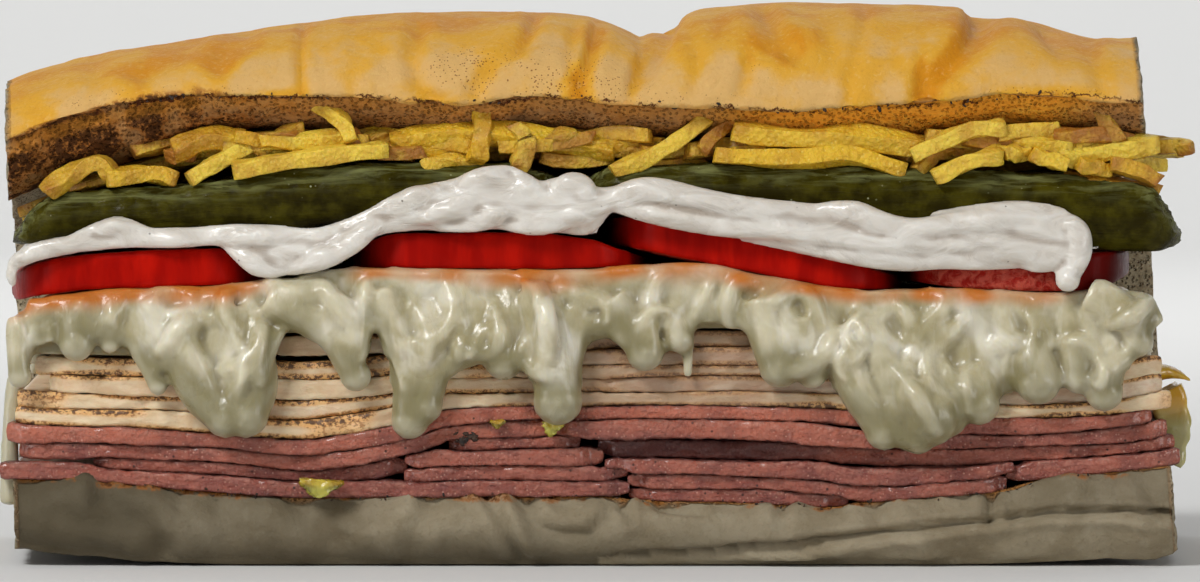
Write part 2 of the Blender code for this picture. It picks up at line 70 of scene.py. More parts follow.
def along(column):
    """Millimetres along X for a column of the drawing grid, which is 1200 columns wide."""
    return (column - GRID_ORIGIN[0]) * GRID_STEP


def up(row):
    """Millimetres above the table for a row of the drawing grid."""
    return (GRID_ORIGIN[1] - row) * GRID_STEP


aim = Vector((along(GRID_MIDDLE[0]) * MM, OPEN_SIDE, up(GRID_MIDDLE[1]) * MM))
eye = aim + VIEW_DISTANCE * Vector((0, -math.cos(VIEW_RISE), math.sin(VIEW_RISE)))
camera_data = bpy.data.cameras.new("camera")
camera_data.sensor_width = SENSOR
camera_data.lens = SENSOR * VIEW_DISTANCE / VIEW_WIDTH
camera = bpy.data.objects.new("camera", camera_data)
camera.location = eye
camera.rotation_euler = (aim - eye).to_track_quat("-Z", "Y").to_euler()
bpy.context.scene.collection.objects.link(camera)
bpy.context.scene.camera = camera
bpy.context.scene.view_settings.view_transform = "Standard"
print("lens", round(camera_data.lens), "mm")

# %% Floor
FLOOR_HALF_WIDTH = 4
FLOOR_FRONT = -3
SWEEP_START = 1.7
SWEEP_RADIUS = 0.8
SWEEP_STEPS = 16
WALL_HEIGHT = 3


def stage_floor():
    """A floor that sweeps up into a back wall, extruded sideways from one bent profile."""
    bm = bmesh.new()
    corner = bm.verts.new((-FLOOR_HALF_WIDTH, SWEEP_START, 0))
    front = bm.verts.new((-FLOOR_HALF_WIDTH, FLOOR_FRONT, 0))
    bm.edges.new((front, corner))
    bmesh.ops.spin(bm, geom=[corner], cent=(-FLOOR_HALF_WIDTH, SWEEP_START, SWEEP_RADIUS), axis=(1, 0, 0),
                   angle=math.pi / 2, steps=SWEEP_STEPS)
    top = max(bm.verts, key=lambda v: v.co.z)
    risen = bmesh.ops.extrude_vert_indiv(bm, verts=[top])["verts"]
    bmesh.ops.translate(bm, vec=(0, 0, WALL_HEIGHT), verts=risen)
    wall = bmesh.ops.extrude_edge_only(bm, edges=bm.edges[:])["geom"]
    bmesh.ops.translate(bm, vec=(2 * FLOOR_HALF_WIDTH, 0, 0),
                        verts=[g for g in wall if isinstance(g, bmesh.types.BMVert)])
    bmesh.ops.recalc_face_normals(bm, faces=bm.faces)
    mesh = bpy.data.meshes.new("floor")
    bm.to_mesh(mesh)
    bm.free()
    mesh.shade_smooth()
    floor = bpy.data.objects.new("floor", mesh)
    bpy.context.scene.collection.objects.link(floor)
    return floor


floor = stage_floor()
print("floor faces:", len(floor.data.polygons))

# %% Lights
AMBIENT = 0.17


def area_light(name, place, size, watts, target=(0, 0, 0.04)):
    """A soft rectangular light that looks at its target."""
    data = bpy.data.lights.new(name, "AREA")
    data.shape = "RECTANGLE"
    data.size, data.size_y = size
    data.energy = watts
    lamp = bpy.data.objects.new(name, data)
    lamp.location = place
    lamp.rotation_euler = (Vector(target) - Vector(place)).to_track_quat("-Z", "Y").to_euler()
    bpy.context.scene.collection.objects.link(lamp)


area_light("key_light", (-0.55, -0.8, 0.85), (0.42, 0.28), 9.0)
area_light("right_fill", (1.0, -0.75, 0.22), (0.5, 0.5), 3.4)
area_light("left_fill", (-1.0, -0.7, 0.12), (0.5, 0.4), 2.2)
area_light("rim_light", (0.35, 0.9, 0.8), (0.6, 0.4), 0.6)
area_light("wall_light", (0, 0.7, 1.5), (2.0, 0.6), 26, (0, 2.5, 0.35))

world = bpy.data.worlds.new("studio")
world.use_nodes = True
background = world.node_tree.nodes["Background"]
background.inputs["Color"].default_value = (1, 1, 1, 1)
background.inputs["Strength"].default_value = AMBIENT
bpy.context.scene.world = world
print("lights:", len(bpy.data.lights))

# %% [markdown]
# ## Tools for shapes
# Most layers are slabs: a slice of meat, a slice of tomato, a potato stick and even the bent roll have a
# length, a depth and a thickness. So one helper makes a box whose six sides are fine grids, and each piece
# then says where a point of that box goes. Soft, fused masses such as cheese and sauce are strands that a
# voxel remesh joins and smoothing melts together.

# %% Lines and noise
def line(knots):
    """A smooth height along X through its knots that never swings past them."""
    xs = [k[0] for k in knots]
    zs = [k[1] for k in knots]
    steps = [(zs[i + 1] - zs[i]) / (xs[i + 1] - xs[i]) for i in range(len(knots) - 1)]
    tangents = [steps[0]]
    for before, after in zip(steps, steps[1:]):
        tangents.append(0.0 if before * after <= 0 else 2 * before * after / (before + after))
    tangents.append(steps[-1])

    def height(x):
        x = min(max(x, xs[0]), xs[-1])
        i = min(bisect_right(xs, x) - 1, len(xs) - 2)
        width = xs[i + 1] - xs[i]
        t = (x - xs[i]) / width
        return ((2 * t**3 - 3 * t**2 + 1) * zs[i] + (t**3 - 2 * t**2 + t) * width * tangents[i]
                + (3 * t**2 - 2 * t**3) * zs[i + 1] + (t**3 - t**2) * width * tangents[i + 1])

    return height


def drawn(points):
    """A line through points of the drawing grid."""
    return line([(along(column), up(row)) for column, row in points])


def rise(value, low, high):
    """0 below low, 1 above high, and a soft step between."""
    t = min(max((value - low) / (high - low), 0.0), 1.0)
    return t * t * (3 - 2 * t)


def wave(x, y, z, size, seed=0.0):
    """Smooth noise between about -1 and 1 whose bumps are size millimetres wide."""
    return noise.noise(Vector((x / size + seed, y / size - seed, z / size + 7.3 * seed)))


def rough(x, y, z, size, seed=0.0, octaves=4):
    """Broken noise between about -1 and 1, with bumps of size millimetres and finer ones on them."""
    return noise.fractal(Vector((x / size + seed, y / size, z / size - seed)), 0.7, 2.1, octaves)


# %% Boxes with gridded sides
def gridded_box(columns, rows, layers):
    """A unit box whose sides are grids, with its lowest corner at the origin."""
    bm = bmesh.new()
    middle = Matrix.Translation((0.5, 0.5, 0.5))
    for side in (-0.5, 0.5):
        bmesh.ops.create_grid(bm, x_segments=columns, y_segments=rows, size=0.5,
                              matrix=middle @ Matrix.Translation((0, 0, side)))
        bmesh.ops.create_grid(bm, x_segments=columns, y_segments=layers, size=0.5, matrix=middle
                              @ Matrix.Translation((0, side, 0)) @ Matrix.Rotation(math.pi / 2, 4, "X"))
        bmesh.ops.create_grid(bm, x_segments=layers, y_segments=rows, size=0.5, matrix=middle
                              @ Matrix.Translation((side, 0, 0)) @ Matrix.Rotation(math.pi / 2, 4, "Y"))
    bmesh.ops.remove_doubles(bm, verts=bm.verts, dist=1e-4)
    bmesh.ops.recalc_face_normals(bm, faces=bm.faces)
    return bm


def spread(bm, values):
    """Writes one dictionary of attribute values per point."""
    for name in values[0]:
        layer = bm.verts.layers.float.new(name)
        for vert, value in zip(bm.verts, values):
            vert[layer] = value[name]


def shape(bm, place, relief=None, paint=None):
    """Moves each point of a box to place(u, v, w), raises it by relief(point, key) and paints its attributes.

    The key of a point is where it lay in the unit box.
    """
    keys = [Vector(min(max(round(c, 6), 0.0), 1.0) for c in vert.co) for vert in bm.verts]
    for vert, key in zip(bm.verts, keys):
        vert.co = place(*key)
    if relief:
        bm.normal_update()
        moves = [vert.normal * relief(vert.co, key) for vert, key in zip(bm.verts, keys)]
        for vert, move in zip(bm.verts, moves):
            vert.co += move
    if paint:
        spread(bm, [paint(vert.co, key) for vert, key in zip(bm.verts, keys)])
    return bm


# %% Finished pieces
def finish_piece(name, bm, slot, material, *nodes):
    """Turns a bmesh in millimetres into a smooth piece in metres that rides on the sandwich."""
    bmesh.ops.recalc_face_normals(bm, faces=bm.faces)
    bmesh.ops.scale(bm, vec=(MM, MM, MM), verts=bm.verts)
    mesh = bpy.data.meshes.new(name)
    bm.to_mesh(mesh)
    bm.free()
    return dress(name, mesh, slot, material, *nodes)


def dress(name, mesh, slot, material, *nodes):
    """Puts a finished mesh into the scene with its material, body and the nodes it stands for; slot is not
    used.
    """
    mesh.materials.clear()
    mesh.materials.append(material)
    mesh.shade_smooth()
    piece = bpy.data.objects.new(name, mesh)
    bpy.context.scene.collection.objects.link(piece)
    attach(piece, "root")
    if nodes:
        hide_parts(*nodes)
    print(f"{name}: {sum(len(p.vertices) - 2 for p in mesh.polygons)} triangles")
    return piece


# %% Strands
def strands_bmesh(strands, sides=3):
    """Tubes with round cross-sections through (x, y, z, radius) points, in millimetres, as one bmesh."""
    curve = bpy.data.curves.new("strands", "CURVE")
    curve.dimensions = "3D"
    curve.bevel_depth = 1.0
    curve.bevel_resolution = sides
    curve.use_fill_caps = True
    for points in strands:
        spline = curve.splines.new("NURBS")
        spline.points.add(len(points) - 1)
        for knot, (x, y, z, radius) in zip(spline.points, points):
            knot.co = (x, y, z, 1)
            knot.radius = radius
        spline.order_u = 3
        spline.use_endpoint_u = True
        spline.resolution_u = 6
    holder = bpy.data.objects.new("strands", curve)
    bpy.context.scene.collection.objects.link(holder)
    bpy.context.view_layer.update()
    mesh = bpy.data.meshes.new_from_object(holder.evaluated_get(bpy.context.evaluated_depsgraph_get()))
    bm = bmesh.new()
    bm.from_mesh(mesh)
    bpy.data.objects.remove(holder)
    bpy.data.curves.remove(curve)
    bpy.data.meshes.remove(mesh)
    return bm


def melted(bm, voxel, softness):
    """Fuses overlapping closed shapes by a voxel remesh, smooths the result and returns it as a bmesh."""
    mesh = bpy.data.meshes.new("melting")
    bm.to_mesh(mesh)
    bm.free()
    holder = bpy.data.objects.new("melting", mesh)
    bpy.context.scene.collection.objects.link(holder)
    remesh = holder.modifiers.new("fuse", "REMESH")
    remesh.mode = "VOXEL"
    remesh.voxel_size = voxel
    smooth = holder.modifiers.new("melt", "SMOOTH")
    smooth.factor = 0.5
    smooth.iterations = softness
    bpy.context.view_layer.update()
    fused = bpy.data.meshes.new_from_object(holder.evaluated_get(bpy.context.evaluated_depsgraph_get()))
    made = bmesh.new()
    made.from_mesh(fused)
    bpy.data.objects.remove(holder)
    bpy.data.meshes.remove(mesh)
    bpy.data.meshes.remove(fused)
    return made


HOLLOW_ROUNDS = 14


def hollows(bm, depth):
    """How deep each point lies in a valley of its surface, in units of depth; ridges are below 0."""
    flat = bm.copy()
    for _ in range(HOLLOW_ROUNDS):
        bmesh.ops.smooth_vert(flat, verts=flat.verts, factor=0.5, use_axis_x=True, use_axis_y=True,
                              use_axis_z=True)
    bm.normal_update()
    depths = [(levelled.co - vert.co).dot(vert.normal) / depth for vert,
              levelled in zip(bm.verts, flat.verts)]
    flat.free()
    return [min(max(share, -1.0), 1.0) for share in depths]


# %% [markdown]
# ## Tools for materials
# Every finish is a Principled shader. Its colour and bump come from noise in Object coordinates, which are
# metres here, so a scale of 1000 gives bumps a millimetre wide. Where colour follows the shape, such as the
# toasted rim, the mesh carries an attribute that the material reads.

# %% Material helpers
def new_finish(name, **sockets):
    """A material whose Principled shader has the given values on its own sockets."""
    material = bpy.data.materials.new(name)
    material.use_nodes = True
    shader = material.node_tree.nodes["Principled BSDF"]
    for socket, value in sockets.items():
        shader.inputs[socket.replace("_", " ")].default_value = value
    return material


def add(material, kind, links=None, **settings):
    """One node, with some inputs set or linked and some settings changed."""
    made = material.node_tree.nodes.new(kind)
    for name, value in settings.items():
        setattr(made, name, value)
    for socket, value in (links or {}).items():
        if isinstance(value, bpy.types.NodeSocket):
            material.node_tree.links.new(value, made.inputs[socket])
        else:
            made.inputs[socket].default_value = value
    return made


def wire(material, socket, source):
    """Links a source into a socket of the material's shader."""
    material.node_tree.links.new(source, material.node_tree.nodes["Principled BSDF"].inputs[socket])


def place_of(material, stretch=(1, 1, 1)):
    """Object coordinates, scaled so that a grain runs along an axis where that axis has a small number."""
    coords = add(material, "ShaderNodeTexCoord").outputs["Object"]
    return add(material, "ShaderNodeMapping", {"Vector": coords, "Scale": stretch}).outputs[0]


def grain(material, place, scale, detail=5.0, harshness=0.55, warp=0.0):
    """Cloudy noise around 0.5."""
    return add(material, "ShaderNodeTexNoise", {"Vector": place, "Scale": scale, "Detail": detail,
                                                "Roughness": harshness, "Distortion": warp}).outputs["Fac"]


def cells(material, place, scale):
    """The distance from the nearest of many scattered points, which gives dots where it is small."""
    return add(material, "ShaderNodeTexVoronoi", {"Vector": place, "Scale": scale}).outputs["Distance"]


def attribute(material, name):
    """A value that the mesh carries, as spread wrote it."""
    return add(material, "ShaderNodeAttribute", attribute_name=name).outputs["Fac"]


def span(material, value, low, high, bottom=0.0, top=1.0):
    """The value, stretched so that low gives bottom and high gives top, with soft ends."""
    links = {"Value": value, "From Min": low, "From Max": high, "To Min": bottom, "To Max": top}
    return add(material, "ShaderNodeMapRange", links, interpolation_type="SMOOTHSTEP").outputs[0]


def math_node(material, operation, first, second):
    """Two values added, multiplied or otherwise combined."""
    return add(material, "ShaderNodeMath", {0: first, 1: second}, operation=operation).outputs[0]

# %% Colours and bumps
def mixed(material, share, first, second):
    """One colour turning into another as share goes from 0 to 1."""
    made = add(material, "ShaderNodeMix", {0: share}, data_type="RGBA")
    for index, colour in ((6, first), (7, second)):
        if isinstance(colour, bpy.types.NodeSocket):
            material.node_tree.links.new(colour, made.inputs[index])
        else:
            made.inputs[index].default_value = (*colour, 1)
    return made.outputs[2]


def layered(material, colour, *layers):
    """A colour with others over it.

    Each layer is the value it follows, that value's low and high, and its colour. The colour's share goes
    from 0 at low to 1 at high, or between the two numbers given after high.
    """
    for value, low, high, *shares, over in layers:
        colour = mixed(material, span(material, value, low, high, *shares), colour, over)
    return colour


def bumped(material, height, distance, under=None):
    """A bump of the given height in metres, on top of another one."""
    links = {"Height": height, "Distance": distance, "Strength": 1.0}
    if under:
        links["Normal"] = under
    return add(material, "ShaderNodeBump", links).outputs[0]


def tell(material):
    """Prints how much a finish is made of."""
    print(f"{material.name}: {len(material.node_tree.nodes)} shader nodes")


# %% Floor finish
floor_finish = new_finish("floor", Base_Color=(0.82, 0.82, 0.81, 1))
cloud = grain(floor_finish, place_of(floor_finish), 6)
wire(floor_finish, "Roughness", span(floor_finish, cloud, 0.3, 0.7, 0.72, 0.85))
floor.data.materials.append(floor_finish)
tell(floor_finish)

# %% [markdown]
# ## The roll
# The roll is one thick sheet of bread, bent in a C: its outside is crust, its inside crumb, and its back is
# the hinge. So it is a gridded box whose length runs along the roll, whose depth runs round the C from the
# lower lip to the upper lip, and whose thickness goes from crust to crumb. The grid is fine on the open side
# and coarse at the back. Dents, folds and a ragged lip are then pushed into it along its normals.

# %% Outlines of the roll
HALF_LENGTH = 75.6
HALF_DEPTH = 39.0
FRONT = -36.7
FILLING_BACK = 30.0
FLOOR_BACK = 10.2
RIGHT_LEAN = 0.08
LEFT_LEAN = 0.02
END_FLARE = 0.05
UNDERSIDE_SLOPE = 0.19

floor_line = line([
    (-77, 11.3), (-70, 11.3), (-62, 10.7), (-50, 9.7), (-38.6, 8.9), (-12.6, 9.0), (0, 9.1), (6, 8.4),
    (13.4, 8.35), (26.4, 7.8), (31, 7.5), (35.5, 8.3), (45.9, 9.2), (53, 9.7), (58.9, 11.3), (65.4, 12.0),
    (76, 13.1),
])
base_line = line([(-76, 2.2), (-62, 0.7), (-45, 0), (45, 0), (62, 0.7), (76, 2.2)])
crown_line = drawn([
    (5, 88), (50, 70), (100, 58), (200, 40), (300, 25), (400, 14), (490, 12), (560, 12), (610, 16), (640, 24),
    (660, 34), (668, 38), (676, 35), (700, 24), (740, 10), (770, 4), (840, 2), (900, 3), (990, 6), (1000, 8),
    (1012, 16), (1060, 18), (1100, 28), (1135, 38),
])
lip_line = drawn([
    (5, 146), (30, 134), (52, 126), (82, 117), (120, 108), (153, 101), (217, 96), (301, 97), (365, 96),
    (430, 102), (490, 104), (545, 96), (600, 100), (640, 104), (700, 107), (750, 108), (810, 112), (860, 108),
    (930, 104), (1000, 99), (1040, 94), (1100, 97), (1140, 103),
])


def underside(x, y):
    """The cut face under the top half of the roll, which is propped open at the front."""
    return lip_line(x) - UNDERSIDE_SLOPE * (y - FRONT)


def settle(front_z, back_z, y):
    """The height at depth y of a layer that is at front_z on the open side and back_z in the hinge."""
    return front_z + (back_z - front_z) * (y - FRONT) / (FILLING_BACK - FRONT)


def smooth_path(points, per_span=8):
    """Points on a smooth curve through the given (y, z) points."""
    points = [Vector(p) for p in points]
    ends = [2 * points[0] - points[1], *points, 2 * points[-1] - points[-2]]
    made = []
    for a, b, c, d in zip(ends, ends[1:], ends[2:], ends[3:]):
        for i in range(per_span):
            t = i / per_span
            made.append(0.5 * (2 * b + (c - a) * t + (2 * a - 5 * b + 4 * c - d) * t * t
                               + (3 * b - a - 3 * c + d) * t**3))
    return [*made, points[-1]]


def spaced(path, count, fineness):
    """count + 1 points along a path, closer together where fineness is higher."""
    reach = [0.0]
    for a, b in zip(path, path[1:]):
        reach.append(reach[-1] + (b - a).length * fineness((a + b) / 2))
    made = []
    for i in range(count + 1):
        goal = reach[-1] * i / count
        j = min(bisect_right(reach, goal) - 1, len(path) - 2)
        made.append(path[j].lerp(path[j + 1], (goal - reach[j]) / max(reach[j + 1] - reach[j], 1e-9)))
    return made


# %% The bent sheet
ROLL_COLUMNS = 250
ROLL_ROWS = 160
ROLL_LAYERS = 9


def crust_outline(x):
    """The outside of the roll at x, as (y, z) points from the lower lip round the back to the upper lip."""
    base, floor_z, crown, lip = base_line(x), floor_line(x), crown_line(x), lip_line(x)
    side, height = floor_z - base, crown - lip
    path = smooth_path([(-36.9, floor_z - 0.1), (-38.7, floor_z - 0.22 * side),
                        (-39.1, floor_z - 0.55 * side), (-36.6, base + 1.0), (-32.5, base), (0, base),
                        (28.0, base), (34.5, base + 2.2), (38.0, base + 8), (HALF_DEPTH, 20), (38.2, 32),
                        (38.8, 43), (37.3, 0.74 * crown), (32.5, 0.87 * crown), (23.5, 0.95 * crown),
                        (9, 0.992 * crown), (-7, crown), (-20, lip + 0.93 * height),
                        (-28.5, lip + 0.77 * height), (-34, lip + 0.5 * height), (-37, lip + 0.22 * height),
                        (-37.6, lip + 0.05)])
    return spaced([Vector((p.x, max(p.y, base))) for p in path], ROLL_ROWS,
                  lambda p: 5.0 if p.x < -6 and (p.y > 40 or p.x < -34) else 1.0)


def crumb_outline(x):
    """The inside of the roll at x, as (y, z) points from the lower lip through the hinge to the upper lip."""
    floor_z, lip = floor_line(x), lip_line(x)
    sag = rise(-x, 44, 62)
    path = smooth_path([(-36.0, floor_z + 0.15), (-30, settle(floor_z, FLOOR_BACK, -30)),
                        (0, settle(floor_z, FLOOR_BACK, 0)), (28.5, FLOOR_BACK + 0.3), (32, 15.5), (32.6, 30),
                        (32, 0.6 * underside(x, 27) + 16), (27, underside(x, 27)),
                        (12, underside(x, 12) - 0.2), (-8, lip - 6.2 - 1.4 * sag),
                        (-20, lip - 5.3 - 2.6 * sag), (-28, lip - 4.6 - 3.0 * sag),
                        (-32.5, lip - 3.5 - 2.8 * sag), (-35.2, lip - 1.6 - 2.0 * sag), (-36.5, lip - 0.15)])
    return spaced(path, ROLL_ROWS, lambda p: 4.0 if p.x < -14 and (p.y > 40 or p.x < -31) else 1.0)


outlines = {}
for column in range(ROLL_COLUMNS + 1):
    x = -HALF_LENGTH + 2 * HALF_LENGTH * column / ROLL_COLUMNS
    outlines[column] = (crust_outline(x), crumb_outline(x))
print("outlines:", len(outlines), "of", ROLL_ROWS + 1, "points")


def roll_place(u, v, w):
    """Where a point of the sheet lies: u along the roll, v round the C and w from crust to crumb."""
    crust, crumb = outlines[round(u * ROLL_COLUMNS)]
    row = round(v * ROLL_ROWS)
    y, z = crust[row].lerp(crumb[row], w)
    flare = END_FLARE * (y + HALF_DEPTH)
    left = -HALF_LENGTH - LEFT_LEAN * z - flare
    right = HALF_LENGTH - RIGHT_LEAN * z + flare
    return left + (right - left) * u, y, z


# %% Where the dents, folds and freckles are
# Browned dents of the top: column, row, half width and height in grid steps, lean, depth in millimetres,
# browning
TOP_DENTS = [
    (135, 71, 22, 7, -0.4, 0.30, 0.7), (224, 64, 12, 14, -0.2, 0.25, 0.5), (40, 120, 30, 22, 0.0, 0.15, 0.6),
    (280, 96, 26, 7, 0.0, 0.15, 0.8), (460, 24, 22, 7, 0.1, 0.35, 0.8), (525, 38, 7, 24, -0.4, 0.30, 0.4),
    (574, 84, 11, 16, -0.2, 0.35, 0.9), (586, 62, 5, 36, -0.25, 0.55, 0.5), (637, 76, 7, 28, -0.3, 0.75, 0.7),
    (775, 20, 9, 20, 0.5, 0.40, 0.8), (747, 64, 7, 20, -0.1, 0.25, 0.3), (978, 22, 15, 13, -0.3, 0.50, 1.0),
    (957, 52, 10, 24, -0.8, 0.50, 0.9), (921, 70, 6, 34, -0.1, 0.35, 0.4), (1058, 32, 24, 15, 0.2, 0.40, 0.9),
    (1098, 56, 9, 9, 0.0, 0.20, 0.4), (898, 60, 8, 14, 0.2, 0.20, 0.3), (868, 8, 14, 6, 0.0, 0.20, 0.6),
    (300, 68, 4, 34, 0.05, 0.25, 0.3), (1060, 94, 50, 7, 0.0, 0.10, 0.6), (720, 30, 10, 16, -0.6, 0.20, 0.3),
    (380, 52, 9, 22, 0.5, 0.20, 0.25), (180, 56, 9, 12, -0.5, 0.20, 0.3), (830, 40, 8, 18, 0.3, 0.20, 0.2),
]
# Folds of the bottom half, as runs of grid points, with half width and depth in millimetres
BASE_FOLDS = [
    ([(619, 556), (700, 552), (800, 543), (928, 527), (1055, 512), (1125, 511), (1190, 516)], 0.55, 0.75),
    ([(102, 499), (143, 522), (163, 552)], 1.6, 0.55), ([(487, 500), (505, 528), (522, 560)], 0.9, 0.40),
    ([(524, 500), (538, 527), (560, 536), (589, 537), (605, 520), (617, 504)], 1.2, 0.50),
    ([(627, 486), (624, 505), (630, 520)], 0.6, 0.40), ([(655, 488), (658, 504), (700, 512)], 0.7, 0.40),
    ([(991, 488), (990, 518)], 0.8, 0.55), ([(783, 497), (781, 526)], 0.9, 0.30),
    ([(1157, 482), (1160, 508)], 2.0, 0.45), ([(300, 510), (330, 545)], 2.2, 0.35),
    ([(220, 505), (232, 530)], 2.0, 0.3), ([(430, 505), (410, 545)], 1.6, 0.35),
    ([(870, 500), (880, 522)], 1.6, 0.25), ([(60, 515), (130, 528)], 1.5, 0.3),
]
# Creases of the top half, as runs of grid points, with half width and depth in millimetres and browning
TOP_CREASES = [
    ([(300, 22), (298, 52), (304, 90)], 0.7, 0.40, 0.25),
    ([(417, 30), (411, 57), (421, 88), (436, 100)], 1.2, 0.65, 0.35),
    ([(534, 14), (528, 38), (494, 65), (475, 90)], 1.0, 0.60, 0.30),
    ([(597, 34), (591, 66), (584, 98)], 0.9, 0.60, 0.5), ([(574, 30), (568, 60), (578, 80)], 0.7, 0.35, 0.2),
    ([(142, 75), (161, 57), (191, 46)], 1.6, 0.35, 0.5), ([(214, 62), (224, 46), (243, 34)], 1.4, 0.45, 0.6),
    ([(741, 92), (752, 62), (768, 52)], 1.0, 0.45, 0.2),
    ([(849, 104), (850, 77), (862, 40), (868, 14)], 0.8, 0.35, 0.15),
    ([(765, 12), (772, 34), (790, 52)], 1.5, 0.70, 0.8),
    ([(925, 98), (929, 78), (956, 64), (974, 46), (994, 12)], 1.5, 0.85, 0.75),
    ([(1054, 30), (1064, 48), (1084, 48)], 1.5, 0.6, 0.8),
    ([(690, 36), (700, 60), (694, 90)], 1.0, 0.35, 0.1),
    ([(1100, 40), (1096, 66), (1104, 90)], 1.2, 0.30, 0.2),
    ([(352, 30), (360, 56), (352, 84)], 1.1, 0.25, 0.1), ([(90, 70), (98, 92), (92, 112)], 1.6, 0.30, 0.2),
]
# The long fold along the right half of the bottom; below it the crust bulges
BASE_RIDGE = drawn([(600, 558), (700, 551), (800, 542), (928, 526), (1055, 511), (1125, 510), (1190, 515)])
# Where the top is freckled: column, row, half width and height in grid steps, and how much
SPECKLED = [
    (540, 80, 95, 28, 1.0), (462, 64, 30, 16, 0.7), (110, 105, 70, 12, 0.5), (760, 70, 25, 18, 0.4),
    (200, 92, 90, 9, 0.5), (1040, 92, 70, 8, 0.6), (700, 98, 60, 8, 0.4),
]

# %% [markdown]
# A dent is a soft spot, and a crease is measured by how far a point is from a run of grid points.

# %% Tools for dents and creases
def blot(x, z, column, row, half_width, half_height, lean=0.0):
    """1 at the middle of a soft leaning spot that is given in grid steps, and 0 away from it."""
    dz = (z - up(row)) / (half_height * GRID_STEP)
    dx = (x - along(column) + lean * (z - up(row))) / (half_width * GRID_STEP)
    far = dx * dx + dz * dz
    return math.exp(-far) if far < 9 else 0.0


def laid(run):
    """A run of grid points in millimetres."""
    return [(along(column), up(row)) for column, row in run]


def near_run(x, z, run):
    """The distance from (x, z) to a run of points, in millimetres."""
    best = 1e9
    for (x0, z0), (x1, z1) in zip(run, run[1:]):
        dx, dz = x1 - x0, z1 - z0
        t = min(max(((x - x0) * dx + (z - z0) * dz) / (dx * dx + dz * dz), 0.0), 1.0)
        best = min(best, math.hypot(x - x0 - t * dx, z - z0 - t * dz))
    return best


def in_reach(x, run, reach):
    """Whether x is within reach of a run of points."""
    return min(p[0] for p in run) - reach < x < max(p[0] for p in run) + reach


TOP_CREASES = [(laid(run), *rest) for run, *rest in TOP_CREASES]
BASE_FOLDS = [(laid(run), *rest) for run, *rest in BASE_FOLDS]
# The tables say how deep a mark looks; the mesh needs it deeper, as the soft light fills it
DENT_DEEPER = 1.4
BASE_FOLD_DEEPER = 2.3
# The deep fold across the top: its foot on the grid, how far it leans for each millimetre up, and its depth
FOLD_FOOT = (640, 100)
FOLD_LEAN = 28 / 62
FOLD_DEPTH = 1.6
# The attribute "over" is the height over the upper lip, and this where a point isn't near that lip
FAR_OVER = 5.0


def crease(far, shoulder, rim, rim_width):
    """The section of a crease: a valley with raised shoulders, at a distance counted in half widths."""
    return shoulder * math.exp(-((far - rim) / rim_width) ** 2) - math.exp(-far * far)

# %% [markdown]
# The relief is pushed along the normals: creases and dents in the top, folds and one long ridge in the
# bottom half, and a torn, porous surface on the crumb.

# %% Relief of the roll
def top_relief(x, y, z):
    """Dents, creases and the deep fold of the golden top, which fade towards the crown."""
    raised = 0.10 * wave(x, y, 2 * z, 3.2, 17)
    for column, row, half_width, half_height, lean, depth, _ in TOP_DENTS:
        dent = blot(x, z, column, row, half_width, half_height, lean)
        raised -= DENT_DEEPER * depth * dent * rise(-y, 6, 20)
    for run, width, depth, _ in TOP_CREASES:
        if in_reach(x, run, 6):
            raised += depth * crease(near_run(x, z, run) / width, 0.45, 1.9, 1.2) * rise(-y, 6, 18)
    fold = x - along(FOLD_FOOT[0]) - (z - up(FOLD_FOOT[1])) * FOLD_LEAN
    raised -= FOLD_DEPTH * rise(z, up(104), up(46)) * math.exp(-((fold + 0.4) / 1.1) ** 2)
    return raised + 0.5 * math.exp(-((fold - 2.6) / 2.4) ** 2) * rise(z, up(100), up(60))


def base_relief(x, z):
    """Folds, the long ridge and the unevenness of the pale bottom, which fade towards the table."""
    raised = 0.0
    for run, width, depth in BASE_FOLDS:
        if in_reach(x, run, 5):
            raised += BASE_FOLD_DEEPER * depth * crease(near_run(x, z, run) / width, 0.40, 1.8, 1.1)
    raised += 0.80 * wave(x, 0, 0.6 * z, 7.5, 9) + 0.42 * wave(x + 0.5 * z, 0, 0.4 * z, 3.0, 2)
    raised += 0.13 * rough(x, 0, 0.7 * z, 1.7, 31)
    return raised + 0.75 * rise(x, -2, 18) * rise(-(z - BASE_RIDGE(x)), -0.1, 0.9)


def roll_relief(point, key):
    """How far the crust or the crumb is raised at a point, in millimetres."""
    x, y, z = point
    u, v, w = key
    at_end = u < 0.001 or u > 0.999
    if w < 0.01 and not at_end:
        amount = 0.45 * wave(x, y, z, 21) + 0.28 * wave(x, 1.6 * y, 1.6 * z, 8, 3)
        amount += 0.05 * rough(x, y, z, 3, 5)
        if z > 30 and y < 10:
            amount += top_relief(x, y, z)
        if z < 16 and y < -30:
            amount = (amount + base_relief(x, z)) * rise(z, 0.0, 2.5)
        if v > 0.985 or v < 0.01:
            amount += 0.25 * rough(x, y, z, 2.2, 8)
        if z < 0.6 and abs(y) < 30:
            amount = -abs(amount) * 0.3
        return amount
    crumb = 0.35 * rough(x, y, z, 4.5, 4, 5) - 0.55 * max(0.0, rough(x, y, z, 2.4, 12, 3)) ** 2
    if at_end:
        return crumb * 1.2
    if v > 0.93 and z > 45:
        rim = rise(lip_line(x) - z, 0.2, 1.6)
        crumb += 0.30 * rough(x, y, z, 1.5, 14) * (0.4 + 0.6 * rim)
        crumb += 0.9 * rise(-x, 30, 50) * rough(x, y, z, 3.2, 27) * rim
    return crumb * (1.0 if z > 30 else 0.4)
